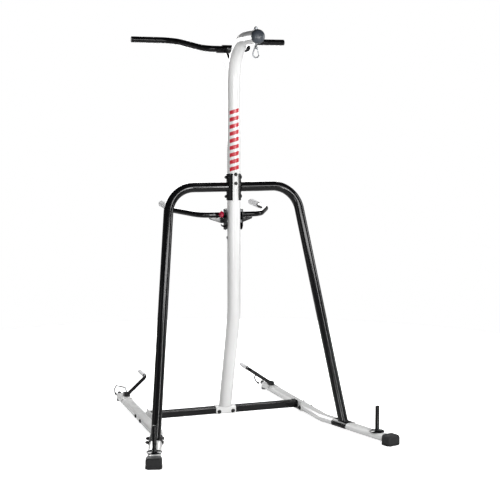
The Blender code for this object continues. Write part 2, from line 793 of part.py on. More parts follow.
def drill_post_joint(upper, lower, halves):
    reach = POST_RADIUS + CLEARANCE + PLATE_THICKNESS
    for label, height in (("upper", 1.386), ("lower", 1.281)):
        drill(halves + [upper, lower], at_post(-reach - 0.02, 0, height), at_post(reach + 0.02, 0, height),
              0.0050 + BORE_CLEARANCE)
        through_bolt("post_bolt_" + label, at_post(reach, 0, height), (-1, 0, 0), reach * 2.0, 0.0050,
                     0.0088, black_steel)
    for label, height in (("upper", 1.402), ("lower", 1.353)):
        drill([upper, lower], at_post(0, -POST_RADIUS - 0.02, height), at_post(0, -POST_RADIUS + 0.015, height),
              0.0045 + BORE_CLEARANCE)
        screw("post_screw_" + label, at_post(0, -POST_RADIUS - 0.0008, height), (0, 1, 0), 0.0095, 0.0045, 0.0088,
              black_steel)


# ---------------------------------------------------------------- base
def build_base_legs():
    legs = []
    for label, side in SIDES:
        corners = (
            rear_point(side, LEG_BACK_Y),
            leg_corner(side),
            leg_axis_point(side, 0.0),
        )
        path = rounded_path(corners, (LEG_BEND_RADIUS,), 3)
        legs.append(
            tube("base_leg_" + label, path, leg_oval(0.0), leg_oval(-LEG_WALL), white_paint, up=(0, 0, 1))
        )
    return legs


JOINT_PLATE_HALF_LENGTH = 0.078
JOINT_PLATE_WALL = 0.0040
JOINT_BOLT_SPREAD = 0.058


def build_crossbars(socket):
    half_depth = CROSSBAR_DEPTH / 2.0
    half_height = CROSSBAR_HEIGHT / 2.0
    outer = rounded_box_profile(half_depth, half_height, 0.0055)
    inner = rounded_box_profile(half_depth - CROSSBAR_WALL, half_height - CROSSBAR_WALL, 0.0035)
    collar = rounded_box_profile(half_depth + 0.003, half_height + 0.003, 0.0080)
    for label, side in SIDES:
        end_x = LEG_X - LEG_HALF_WIDTH - JOINT_PLATE_WALL - 0.0012
        stations = (
            (end_x - 0.004, inner),
            (0.0015, inner),
            (0.0015, outer),
            (end_x - 0.018, outer),
            (end_x - 0.018, collar),
            (end_x, collar),
        )
        rings = []
        for distance, profile in stations:
            rings.append([at_post(side * distance, CROSSBAR_Y + a, CROSSBAR_Z + b) for a, b in profile])
        crossbar = loft("crossbar_" + label, rings, black_paint)
        spot = at_post(side * SOCKET_BOLT_X, CROSSBAR_Y, SOCKET_BOLT_Z)
        depth = half_depth + CLEARANCE + SOCKET_WALL
        drill([socket, crossbar], spot + Vector((0, -depth - 0.02, 0)), spot + Vector((0, depth + 0.02, 0)),
              0.0050 + BORE_CLEARANCE)
        through_bolt("socket_bolt_" + label, spot + Vector((0, -depth, 0)), (0, 1, 0), depth * 2.0, 0.0050,
                     0.0090, black_steel)
        build_joint_plate(label, side)


def build_joint_plate(label, side):
    """Plate welded to the crossbar end, hugging the inner side of the leg."""
    steps = 6
    low = math.radians(-52.0)
    flat = LEG_HALF_WIDTH - LEG_HALF_HEIGHT
    inner = LEG_HALF_HEIGHT + CLEARANCE
    near = []
    for step in range(steps + 1):
        angle = low - 2.0 * low * step / steps
        near.append((flat + inner * math.cos(angle), inner * math.sin(angle)))
    inside = LEG_HALF_WIDTH + CLEARANCE
    top = CROSSBAR_Z + CROSSBAR_HEIGHT / 2.0 + 0.003 - LEG_Z
    far = [
        (inside, LEG_HALF_HEIGHT + 0.004),
        (inside, top),
        (inside + JOINT_PLATE_WALL, top),
        (inside + JOINT_PLATE_WALL, near[0][1]),
    ]
    outline = [(-side * across, above) for across, above in near + far]
    along = rear_direction(side)
    across = Vector((along.y, -along.x, 0.0))
    start = rear_point(side, CROSSBAR_Y) - along * JOINT_PLATE_HALF_LENGTH
    plate = extrude("joint_plate_" + label, outline, start, along, across, (0, 0, 1),
                    JOINT_PLATE_HALF_LENGTH * 2.0, white_paint)
    leg = bpy.data.objects["base_leg_" + label]
    outward = across * side
    grip = LEG_HALF_WIDTH * 2.0 + CLEARANCE + JOINT_PLATE_WALL
    for spot_label, offset in (("back", JOINT_BOLT_SPREAD), ("front", -JOINT_BOLT_SPREAD)):
        spot = rear_point(side, CROSSBAR_Y) + along * offset + Vector((0, 0, LEG_BOLT_LIFT))
        outside = spot + outward * LEG_HALF_WIDTH
        drill([leg, plate], outside + outward * 0.02, outside - outward * (grip + 0.02),
              0.0050 + BORE_CLEARANCE)
        through_bolt("joint_bolt_%s_%s" % (spot_label, label), outside, -outward, grip, 0.0050, 0.0092,
                     black_steel)


def build_weight_pegs():
    for label, side in SIDES:
        centre = leg_axis_point(side, PEG_BACK)
        base = Vector((centre.x, centre.y, LEG_Z + LEG_HALF_HEIGHT + CLEARANCE))
        height = PEG_TOP_Z - base.z
        stations = (
            (0.0, PEG_FLANGE_RADIUS - 0.0008),
            (0.0010, PEG_FLANGE_RADIUS),
            (PEG_FLANGE_THICKNESS - 0.0010, PEG_FLANGE_RADIUS),
            (PEG_FLANGE_THICKNESS, PEG_FLANGE_RADIUS - 0.0008),
            (PEG_FLANGE_THICKNESS, PEG_RADIUS + 0.0020),
            (PEG_FLANGE_THICKNESS + 0.0020, PEG_RADIUS),
            (height - 0.0015, PEG_RADIUS),
            (height, PEG_RADIUS - 0.0015),
        )
        turned("weight_peg_" + label, base, (0, 0, 1), stations, ROUND_SIDES, black_paint)


def boot_profile(half_width, top, chamfer, count):
    """Closed outline with a flat sole and chamfered top corners, resampled to a point count."""
    bottom = -LEG_Z
    corners = [
        (half_width, bottom),
        (half_width, top - chamfer),
        (half_width - chamfer * 0.35, top - chamfer * 0.35),
        (half_width - chamfer, top),
        (-half_width + chamfer, top),
        (-half_width + chamfer * 0.35, top - chamfer * 0.35),
        (-half_width, top - chamfer),
        (-half_width, bottom),
    ]
    points = []
    for step in range(count):
        angle = 2.0 * math.pi * step / count
        direction = Vector((math.cos(angle), math.sin(angle)))
        best = None
        for index, corner in enumerate(corners):
            first = Vector(corner)
            second = Vector(corners[(index + 1) % len(corners)])
            edge = second - first
            denominator = direction.x * edge.y - direction.y * edge.x
            if abs(denominator) < 1e-12:
                continue
            along = (first.x * edge.y - first.y * edge.x) / denominator
            share = (first.x * direction.y - first.y * direction.x) / denominator
            if along > 0.0 and -1e-9 <= share <= 1.0 + 1e-9:
                best = along if best is None else min(best, along)
        points.append((direction.x * best, direction.y * best))
    return points


def build_front_boots():
    count = 32
    cavity_oval = []
    for step in range(count):
        angle = 2.0 * math.pi * step / count
        cavity_oval.append(oval_point(angle, CLEARANCE))
    for label, side in SIDES:
        front = leg_axis_point(side, 0.0)
        direction = leg_direction(side)
        across = direction.cross(Vector((0, 0, 1)))
        body = boot_profile(0.0410, 0.0265, 0.0130, count)
        rim = boot_profile(0.0385, 0.0250, 0.0120, count)
        stations = (
            (CLEARANCE, cavity_oval),
            (-0.040, cavity_oval),
            (-0.040, rim),
            (-0.036, body),
            (0.008, body),
            (0.014, boot_profile(0.0395, 0.0240, 0.0120, count)),
            (0.017, boot_profile(0.0370, 0.0200, 0.0110, count)),
        )
        rings = []
        for distance, profile in stations:
            centre = front + direction * distance
            rings.append([centre + across * a + Vector((0, 0, b)) for a, b in profile])
        loft("front_boot_" + label, rings, black_rubber, sharp=35.0)


def oval_point(angle, extra):
    """Point of the flat-oval leg outline in a given direction from its centre."""
    flat = LEG_HALF_WIDTH - LEG_HALF_HEIGHT
    radius = LEG_HALF_HEIGHT + extra
    dx, dy = math.cos(angle), math.sin(angle)
    if abs(dy) > 1e-9 and abs(dx / dy) * radius <= flat:
        scale = radius / abs(dy)
        return (dx * scale, dy * scale)
    centre = flat if dx > 0 else -flat
    b = dx * centre
    distance = b + math.sqrt(b * b - (centre * centre - radius * radius))
    return (dx * distance, dy * distance)


def build_rear_ends():
    """Plug with a flange and a foot block at the back end of each leg, and the peg bolted into it."""
    count = 32
    angles = [2.0 * math.pi * step / count for step in range(count)]
    loose = [oval_point(angle, -LEG_WALL - 0.0015) for angle in angles]
    snug = [oval_point(angle, -LEG_WALL - CLEARANCE) for angle in angles]
    flange = boot_profile(0.0310, 0.0165, 0.0100, count)
    worn = boot_profile(0.0290, 0.0145, 0.0100, count)
    for label, side in SIDES:
        end = rear_point(side, LEG_BACK_Y)
        along = rear_direction(side)
        across = Vector((along.y, -along.x, 0.0))
        stations = ((-0.024, loose), (CLEARANCE, snug), (CLEARANCE, flange), (0.0120, flange), (0.0145, worn))
        rings = []
        for distance, profile in stations:
            rings.append([end + along * distance + across * a + Vector((0, 0, b)) for a, b in profile])
        cap = loft("rear_cap_" + label, rings, light_plastic)
        drill([cap], end - along * 0.004, end + along * 0.03, 0.0050 + BORE_CLEARANCE)
        stations = (
            (0.0, 0.0050),
            (0.0185, 0.0050),
            (0.0190, 0.0090),
            (0.0240, 0.0090),
            (0.0280, 0.0060),
            (0.0640, 0.0060),
            (0.0660, 0.0095),
            (0.0710, 0.0120),
            (0.0770, 0.0130),
            (0.0830, 0.0120),
            (0.0880, 0.0085),
            (0.0905, 0.0035),
        )
        turned("band_peg_" + label, end - along * 0.0035, along, stations, BOLT_SIDES, black_rubber)


REAR_SADDLE_FRONT_Y = 0.605
REAR_SADDLE_BACK_Y = 0.722
REAR_SADDLE_WALL = 0.0032
HANDLE_BLOCK_HEIGHT = 0.0200
BAND_ROD_RADIUS = 0.0030
BAND_TIP_RADIUS = 0.0055


def build_push_up_handles():
    for label, side in SIDES:
        along = rear_direction(side)
        across = Vector((along.y, -along.x, 0.0))
        outline = half_oval_outline(CLEARANCE, REAR_SADDLE_WALL, -0.004, 6)
        extrude("handle_saddle_" + label, outline, rear_point(side, REAR_SADDLE_FRONT_Y), along, across,
                (0, 0, 1), REAR_SADDLE_BACK_Y - REAR_SADDLE_FRONT_Y, white_paint)
        saddle_top = LEG_Z + LEG_HALF_HEIGHT + CLEARANCE + REAR_SADDLE_WALL
        plate_low = saddle_top + CLEARANCE
        plate_centre = at_post(side * (HANDLE_ROOT[0] + 0.008), HANDLE_ROOT[1] + 0.010, plate_low)
        plate = extrude("handle_block_" + label, rounded_box_profile(0.018, 0.022, 0.006), plate_centre,
                        (0, 0, 1), (1, 0, 0), (0, 1, 0), HANDLE_BLOCK_HEIGHT, black_paint)
        corners = (
            at_post(side * HANDLE_ROOT[0], HANDLE_ROOT[1], plate_low + HANDLE_BLOCK_HEIGHT * 0.7),
            at_post(side * HANDLE_X, HANDLE_BEND_Y, HANDLE_TOP_Z),
            at_post(side * (HANDLE_X - 0.001), HANDLE_GRIP_END_Y - 0.004, HANDLE_TOP_Z + 0.004),
        )
        path = rounded_path(corners, (0.030,), 5)
        handle = bar("push_up_handle_" + label, path, circle_profile(HANDLE_RADIUS, BAR_SIDES), black_paint)
        build_grip("push_up_grip_" + label, path[-1], path[-2], HANDLE_RADIUS, 0.0135, 0.118)
        weld(handle, [plate, build_band_hook(label, side, plate_low)])


def build_grip(name, tip, near, core, outer, length):
    """Foam sleeve closed at its outer end, slid over a bar end."""
    direction = (tip - near).normalized()
    start = tip - direction * length
    bore = core + CLEARANCE
    stations = (
        (length + 0.0005, bore),
        (0.0, bore),
        (0.0, outer - 0.0010),
        (0.0020, outer),
        (length * 0.98, outer),
        (length + 0.0040, outer - 0.0010),
        (length + 0.0065, outer * 0.60),
    )
    return turned(name, start, direction, stations, BAR_SIDES, grey_foam)


def build_band_hook(label, side, plate_low):
    """Thin rod that runs back past the leg end and curls down to the floor, with a fat rubber tip."""
    corners = (
        at_post(side * (HANDLE_ROOT[0] + 0.003), HANDLE_ROOT[1] + 0.024, plate_low + HANDLE_BLOCK_HEIGHT * 0.7),
        at_post(side * 0.4460, 0.755, 0.0800),
        at_post(side * 0.4590, 0.940, 0.0520),
        at_post(side * 0.4640, 0.985, 0.0180),
        at_post(side * 0.4680, 0.925, BAND_TIP_RADIUS + 0.0030),
        at_post(side * 0.4690, 0.905, BAND_TIP_RADIUS + 0.0015),
    )
    path = rounded_path(corners, (0.040, 0.035, 0.016, 0.001), 3)
    frames = path_frames(path)
    radii = [BAND_ROD_RADIUS] * (len(path) - 5) + [BAND_TIP_RADIUS * 0.8] + [BAND_TIP_RADIUS] * 4
    rings = [place_profile(frame, circle_profile(radius, 8)) for frame, radius in zip(frames, radii)]
    return loft("band_hook_" + label, rings, black_paint)


# ---------------------------------------------------------------- dip station
CARRIAGE_LOW_Z = 1.096
CARRIAGE_TOP_Z = 1.212
CARRIAGE_GAP = 0.0006
CARRIAGE_WALL = 0.0040
CARRIAGE_INNER_X = 0.0440
CARRIAGE_FRONT_Y = -0.018
PIN_Z = 1.183
PIN_Y = 0.006
PIN_RADIUS = 0.0046
PIN_HOLE_RADIUS = 0.0056
PIN_RUNNING_CLEARANCE = 0.00008


def channel_outline(inner_x, front, back, wall):
    """Plan of a channel open toward the front, with bent back corners."""
    outer = inner_x + wall
    return [
        (outer, front),
        (outer, back),
        (outer - wall, back + wall),
        (wall - outer, back + wall),
        (-outer, back),
        (-outer, front),
        (-inner_x, front),
        (-inner_x, back),
        (inner_x, back),
        (inner_x, front),
    ]


def build_dip_station(lower):
    inner = POST_RADIUS + CARRIAGE_GAP
    back = inner + CARRIAGE_WALL
    side_x = CARRIAGE_INNER_X + CARRIAGE_WALL
    outline = channel_outline(CARRIAGE_INNER_X, CARRIAGE_FRONT_Y, inner, CARRIAGE_WALL)
    carriage = extrude("dip_carriage", outline, at_post(0, 0, CARRIAGE_LOW_Z), (0, 0, 1), (1, 0, 0), (0, 1, 0),
                       CARRIAGE_TOP_Z - CARRIAGE_LOW_Z, black_paint)
    wedge = [
        (CARRIAGE_FRONT_Y - 0.010, CARRIAGE_LOW_Z - 0.010),
        (CARRIAGE_FRONT_Y + 0.026, CARRIAGE_LOW_Z - 0.010),
        (CARRIAGE_FRONT_Y - 0.010, CARRIAGE_LOW_Z + 0.032),
    ]
    cut([carriage], extrude("corner_cut", wedge, at_post(-0.1, 0, 0), (1, 0, 0), (0, 1, 0), (0, 0, 1), 0.2,
                            black_steel))
    for height in (PIN_Z, PIN_Z - DIP_TRAVEL):
        drill([lower], at_post(-POST_RADIUS - 0.02, PIN_Y, height), at_post(-POST_RADIUS + 0.018, PIN_Y, height),
              PIN_HOLE_RADIUS)
    drill([carriage], at_post(-side_x - 0.02, PIN_Y, PIN_Z), at_post(-CARRIAGE_INNER_X + 0.010, PIN_Y, PIN_Z),
          PIN_HOLE_RADIUS)

    centre_y = back + CLEARANCE + DIP_BAR_RADIUS
    corners = []
    for side in (-1.0, 1.0):
        half = [
            at_post(side * DIP_HANDLE_X, DIP_HANDLE_BACK_Y, DIP_BAR_Z + DIP_HANDLE_RISE),
            at_post(side * DIP_HANDLE_X, 0.240, DIP_BAR_Z + DIP_HANDLE_RISE * 0.45),
            at_post(side * 0.175, centre_y, DIP_BAR_Z),
        ]
        corners += half if side < 0 else half[::-1]
    path = rounded_path(corners, (0.100, 0.085, 0.085, 0.100), 4)
    tube(
        "dip_bar",
        path,
        circle_profile(DIP_BAR_RADIUS, BAR_SIDES),
        circle_profile(DIP_BAR_RADIUS - 0.002, BAR_SIDES),
        black_paint,
    )
    for label, tip, near in (("left", path[0], path[1]), ("right", path[-1], path[-2])):
        build_grip("dip_grip_" + label, tip, near, DIP_BAR_RADIUS, DIP_GRIP_RADIUS, 0.150)
    build_dip_brace(centre_y, back)
    build_pop_pin(side_x)


def build_dip_brace(centre_y, carriage_outer):
    """Tapered plate under the dip bar, welded to the back of the carriage."""
    top = DIP_BAR_Z - DIP_BAR_RADIUS - CLEARANCE
    outline = [
        (-0.125, top),
        (-0.118, top - 0.010),
        (-0.060, top - 0.030),
        (0.060, top - 0.030),
        (0.118, top - 0.010),
        (0.125, top),
    ]
    front = carriage_outer + CLEARANCE
    extrude("dip_brace", outline, at_post(0, front, 0), (0, 1, 0), (1, 0, 0), (0, 0, 1),
            centre_y + 0.012 - front, black_paint)


def build_pop_pin(side_x):
    spot = at_post(-side_x - CLEARANCE, PIN_Y, PIN_Z)
    bore = PIN_RADIUS + PIN_RUNNING_CLEARANCE
    rings = []
    for distance, radius in ((0.0, bore), (0.010, bore), (0.010, 0.0080), (0.0080, 0.0095), (0.0, 0.0095)):
        centre = spot - Vector((distance, 0, 0))
        rings.append([centre + Vector((0, a, b)) for a, b in circle_profile(radius, BAR_SIDES)])
    loft("pin_housing", rings, black_steel, closed_loop=True)
    stations = (
        (-0.0100, PIN_RADIUS),
        (0.0110, PIN_RADIUS),
        (0.0110, 0.0130),
        (0.0130, 0.0165),
        (0.0190, 0.0185),
        (0.0260, 0.0180),
        (0.0310, 0.0140),
        (0.0330, 0.0070),
    )
    turned("pull_pin", spot, (-1, 0, 0), stations, BAR_SIDES, red_plastic, joint_origin=spot)
    hook = at_post(-side_x - CLEARANCE, 0.022, 1.116)
    outline = [(0.0, -0.008), (0.014, -0.002), (0.020, 0.008), (0.016, 0.010), (0.011, 0.004), (0.0, 0.006)]
    extrude("carriage_hook", outline, hook - Vector((0, 0.006, 0)), (0, 1, 0), (-1, 0, 0), (0, 0, 1), 0.012,
            black_steel)


# ---------------------------------------------------------------- assembly
def clear_scene():
    for item in list(bpy.data.objects):
        bpy.data.objects.remove(item, do_unlink=True)


def main():
    clear_scene()
    upper, lower = build_posts()
    socket = build_foot_socket()
    build_base_legs()
    halves = build_frame()
    drill_post_joint(upper, lower, halves)
    build_arm_end()
    build_hanging_hardware(upper)
    build_pull_up_bar()
    build_crossbars(socket)
    build_weight_pegs()
    build_front_boots()
    build_rear_ends()
    build_push_up_handles()
    build_dip_station(lower)


main()
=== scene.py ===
"""Looks of a free-standing training stand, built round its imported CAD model.

Metres, +Z up, the front of the stand faces -Y.
"""
import math

import bpy
import numpy as np
from mathutils import Matrix, Vector
from mathutils.bvhtree import BVHTree


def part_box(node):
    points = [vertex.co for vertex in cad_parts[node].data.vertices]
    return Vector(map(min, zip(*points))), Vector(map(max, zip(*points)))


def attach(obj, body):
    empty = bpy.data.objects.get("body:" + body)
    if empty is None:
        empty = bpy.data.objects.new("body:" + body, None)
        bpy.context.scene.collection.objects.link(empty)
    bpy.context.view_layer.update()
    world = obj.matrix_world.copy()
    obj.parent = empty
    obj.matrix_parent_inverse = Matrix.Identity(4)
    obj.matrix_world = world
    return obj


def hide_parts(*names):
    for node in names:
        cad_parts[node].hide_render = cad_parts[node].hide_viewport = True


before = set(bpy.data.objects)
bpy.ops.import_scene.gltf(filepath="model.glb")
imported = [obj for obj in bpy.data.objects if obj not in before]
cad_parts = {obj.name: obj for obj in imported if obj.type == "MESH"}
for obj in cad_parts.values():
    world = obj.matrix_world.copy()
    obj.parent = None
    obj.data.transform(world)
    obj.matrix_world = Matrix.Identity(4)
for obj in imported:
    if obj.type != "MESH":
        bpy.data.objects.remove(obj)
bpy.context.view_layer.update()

# ---------------- places and sizes
bolt_low, bolt_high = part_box("post_bolt_upper")
POST_Y = (bolt_low.y + bolt_high.y) / 2.0
POST_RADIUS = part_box("upper_post")[1].x
SIDES = (("left", -1.0), ("right", 1.0))

# these places are measured from the post axis
FRAME_CORNER = (0.361, 0.008, 1.333)
FRAME_FOOT = (0.533, -0.303, 0.050)
FRAME_RADIUS = 0.0265
LEG_FRONT = (0.645, -0.690)
LEG_SPLAY = math.radians(16.2)
LOW_PIN_HOLE = (0.006, 1.053)
POST_SPLIT_Z = 1.320
ARM_Z = 2.123
ARM_BEND_RADIUS = 0.218
ARM_REACH = 0.389
LOWER_BEND_Z = 0.625
LOWER_BEND_RADIUS = 0.42
CROSSBAR_Y = 0.170
CROSSBAR_Z = 0.047
FRAME_BEND_RADIUS = 0.150
POST_PLATE_REACH = 0.073
POST_PLATE_ARC = (-64.0, 82.0)
POST_PLATE_WALL = 0.0040
LEG_HALF_WIDTH = 0.034
LEG_HALF_HEIGHT = 0.018
LEG_Z = 0.030
LEG_X = 0.478
LEG_BACK_Y = 0.752
LEG_TOE = math.radians(1.1)
LEG_BEND_RADIUS = 0.160
SADDLE_BACK = 0.402
SADDLE_LENGTH = 0.118
SADDLE_WALL = 0.0032
PULL_BAR_RADIUS = 0.0172
PULL_BAR_CENTRE = (0.120, 2.086)
PULL_BAR_END = (0.457, 0.447, 2.149)
PULL_BAR_CORNER_X = 0.215
PULL_BAR_BEND_X = 0.125
DIP_BAR_RADIUS = 0.0150
DIP_BAR_Z = 1.176
DIP_HANDLE_X = 0.276
DIP_HANDLE_BACK_Y = 0.503
DIP_HANDLE_RISE = 0.036
HANDLE_RADIUS = 0.0108
HANDLE_TOP_Z = 0.150
HANDLE_X = 0.3316
HANDLE_ROOT = (0.452, 0.648)
HANDLE_BEND_Y = 0.7005
HANDLE_GRIP_END_Y = 0.850
HANDLE_BLOCK_HEIGHT = 0.020
BAND_ROD_RADIUS = 0.0040
BAND_TIP_RADIUS = 0.0060
BAND_CORNERS = ((0.4460, 0.755, 0.0800), (0.4590, 0.940, 0.0520), (0.4640, 0.985, 0.0180),
                (0.4680, 0.925, 0.0085))
BAND_BENDS = (0.040, 0.035, 0.016)
TOUCH = 0.0003                # gap between pieces that touch

VIEW_AZIMUTH = math.radians(-19.22)
VIEW_ELEVATION = math.radians(6.35)
VIEW_FROM_POST = Vector((-2.0849, -6.2517, 1.7166))
VIEW_LENS = 86.4

ACROSS = Vector((1, 0, 0))
BACK = Vector((0, 1, 0))
UP = Vector((0, 0, 1))


def at_post(x, y, z):
    return Vector((x, POST_Y + y, z))


def at_side(side, x, y, z):
    """Place on the left or right half of the stand."""
    return at_post(side * x, y, z)


# ---------------- node trees
def feed(tree, node, inputs):
    """Sets the inputs of a node, or links those whose value is another node's output."""
    for socket, value in inputs.items():
        if isinstance(value, bpy.types.NodeSocket):
            tree.links.new(value, node.inputs[socket])
        else:
            node.inputs[socket].default_value = value


def add_node(tree, kind, inputs):
    node = tree.nodes.new(kind)
    feed(tree, node, inputs)
    return node


def coordinates(tree):
    for node in tree.nodes:
        if node.type == "TEX_COORD":
            return node.outputs["Object"]
    return tree.nodes.new("ShaderNodeTexCoord").outputs["Object"]


def noise(tree, scale, detail=2.0, roughness=0.5):
    inputs = {"Scale": scale, "Detail": detail, "Roughness": roughness, "Vector": coordinates(tree)}
    return add_node(tree, "ShaderNodeTexNoise", inputs).outputs["Fac"]


def cells(tree, scale, output="Distance"):
    inputs = {"Scale": scale, "Vector": coordinates(tree)}
    return add_node(tree, "ShaderNodeTexVoronoi", inputs).outputs[output]


def remap(tree, value, low, high, to_low, to_high):
    inputs = {"Value": value, "From Min": low, "From Max": high, "To Min": to_low, "To Max": to_high}
    return add_node(tree, "ShaderNodeMapRange", inputs).outputs["Result"]


def multiply(tree, first, second):
    node = add_node(tree, "ShaderNodeMath", {0: first, 1: second})
    node.operation = "MULTIPLY"
    return node.outputs[0]


def blend_colours(tree, share, first, second):
    """Mix of two colours; each is a plain colour or an output."""
    node = tree.nodes.new("ShaderNodeMix")
    node.data_type = "RGBA"
    first, second = (((*colour, 1.0) if isinstance(colour, tuple) else colour) for colour in (first, second))
    feed(tree, node, {"Factor": share, 6: first, 7: second})
    return node.outputs[2]


def worn_edges(tree, reach, amount):
    """Mask that is high on corners sharper than the reach, broken up by noise."""
    rounded = add_node(tree, "ShaderNodeBevel", {"Radius": reach})
    rounded.samples = 4
    geometry = tree.nodes.new("ShaderNodeNewGeometry")
    facing = add_node(tree, "ShaderNodeVectorMath",
                      {0: rounded.outputs["Normal"], 1: geometry.outputs["Normal"]})
    facing.operation = "DOT_PRODUCT"
    corner = remap(tree, facing.outputs["Value"], 0.97, 0.80, 0.0, amount)
    patches = spread(tree, 70.0, 4.0, 0.46, 0.62, roughness=0.65)
    return multiply(tree, corner, patches)


def start_material(name, metallic=0.0, coat=0.0, coat_roughness=0.1, specular=0.5, sheen=0.0):
    material = bpy.data.materials.new(name)
    material.use_nodes = True
    tree = material.node_tree
    feed(tree, tree.nodes["Principled BSDF"], {
        "Metallic": metallic, "Coat Weight": coat, "Coat Roughness": coat_roughness,
        "Specular IOR Level": specular, "Sheen Weight": sheen})
    return material, tree


def spread(tree, scale, detail, low, high, to_low=0.0, to_high=1.0, roughness=0.5):
    """Noise with the span of its values from low to high stretched over another."""
    return remap(tree, noise(tree, scale, detail, roughness), low, high, to_low, to_high)


def finish(material, colour, roughness, layers):
    """Feeds the shader; a layer of bumps is (height output, distance in metres, strength)."""
    tree = material.node_tree
    below = {}
    for height, distance, strength in layers:
        bump = add_node(tree, "ShaderNodeBump",
                        {"Distance": distance, "Strength": strength, "Height": height, **below})
        below = {"Normal": bump.outputs["Normal"]}
    feed(tree, tree.nodes["Principled BSDF"], {"Base Color": colour, "Roughness": roughness, **below})
    return material


# ---------------- materials
def powder_coat(name, clean, dull, worn, smooth, rough, wear, specular, coat):
    """Gloss powder coat: orange peel, faint waviness, smudges and rubbed corners."""
    material, tree = start_material(name, coat=coat, coat_roughness=0.05, specular=specular)
    base = blend_colours(tree, spread(tree, 7.0, 3.0, 0.35, 0.65), clean, dull)
    colour = blend_colours(tree, worn_edges(tree, 0.0011, wear), base, worn)
    smudge = spread(tree, 26.0, 5.0, 0.35, 0.70, smooth, rough, 0.6)
    peel = noise(tree, 620.0, 1.0)
    wave = noise(tree, 85.0, 1.0)
    return finish(material, colour, smudge, ((wave, 0.00006, 0.30), (peel, 0.00001, 0.35)))


def moulded_rubber(name, colour, pale):
    """Matte rubber with a fine spark-eroded grain and a dusty bloom."""
    material, tree = start_material(name, specular=0.42)
    bloom = spread(tree, 30.0, 6.0, 0.45, 0.75, 0.0, 0.6, 0.62)
    base = blend_colours(tree, bloom, colour, pale)
    rubbed = blend_colours(tree, worn_edges(tree, 0.0018, 0.5), base, pale)
    return finish(material, rubbed, spread(tree, 45.0, 4.0, 0.3, 0.7, 0.52, 0.72),
                  ((noise(tree, 1500.0, 2.0), 0.00015, 0.5), (cells(tree, 900.0), 0.0001, 0.3)))


def closed_cell_foam(name, colour, dark):
    """Skinned foam grip with open pores darkened by painted shade, and handled patches."""
    material, tree = start_material(name, specular=0.25, sheen=0.25)
    pores = remap(tree, cells(tree, 950.0), 0.10, 0.42, 1.0, 0.0)
    patches = spread(tree, 38.0, 4.0, 0.40, 0.72, 0.0, 0.55, 0.6)
    # painted shade: the pits of the pores are darkened toward the dark colour
    pore_painted_shade = multiply(tree, pores, spread(tree, 420.0, 2.0, 0.3, 0.7, 0.1, 0.7))
    shaded = blend_colours(tree, pore_painted_shade, blend_colours(tree, patches, colour, dark), dark)
    return finish(material, shaded, remap(tree, patches, 0.0, 0.55, 0.90, 0.70),
                  ((noise(tree, 160.0, 3.0), 0.0004, 0.4), (cells(tree, 950.0), 0.00025, 0.7)))


def moulded_plastic(name, colour, shade, smooth, rough, grain):
    """Injection-moulded plastic with a fine etched texture and light scuffs."""
    material, tree = start_material(name, coat=0.10, coat_roughness=0.2)
    base = blend_colours(tree, spread(tree, 18.0, 4.0, 0.35, 0.65), colour, shade)
    scuff = tuple(min(1.0, part * 1.6 + 0.02) for part in colour)
    return finish(material, blend_colours(tree, worn_edges(tree, 0.0010, 0.35), base, scuff),
                  spread(tree, 60.0, 5.0, 0.3, 0.7, smooth, rough),
                  ((cells(tree, 1300.0), 0.00008, grain), (noise(tree, 240.0), 0.00008, 0.3)))


def oxide_steel(name):
    """Black oxide fasteners with bright steel showing on the rubbed corners."""
    material, tree = start_material(name, metallic=0.85)
    base = blend_colours(tree, spread(tree, 130.0, 4.0, 0.35, 0.65), (0.016, 0.016, 0.017),
                         (0.032, 0.031, 0.030))
    rubbed = blend_colours(tree, worn_edges(tree, 0.0006, 0.8), base, (0.22, 0.22, 0.22))
    return finish(material, rubbed, spread(tree, 220.0, 4.0, 0.3, 0.7, 0.26, 0.46),
                  ((noise(tree, 1100.0, 2.0), 0.00005, 0.5),))


def zinc_plate(name, colour, smooth, rough):
    """Bright plated steel: faint spangle and dulled patches."""
    material, tree = start_material(name, metallic=1.0)
    spangle = remap(tree, cells(tree, 480.0, "Color"), 0.0, 1.0, 0.0, 1.0)
    base = blend_colours(tree, spangle, colour, tuple(part * 0.82 for part in colour))
    return finish(material, base, spread(tree, 150.0, 5.0, 0.3, 0.7, smooth, rough, 0.6),
                  ((noise(tree, 1400.0, 3.0), 0.00004, 0.4),))


def screen_print(name):
    """Red ink with a fine mesh grain and thin, slightly starved patches."""
    material, tree = start_material(name, coat=0.15, coat_roughness=0.15)
    base = blend_colours(tree, spread(tree, 190.0, 4.0, 0.50, 0.80, 0.0, 0.35), (0.50, 0.006, 0.020),
                         (0.58, 0.03, 0.045))
    return finish(material, base, spread(tree, 90.0, 3.0, 0.3, 0.7, 0.24, 0.36),
                  ((cells(tree, 2200.0), 0.00003, 0.4),))


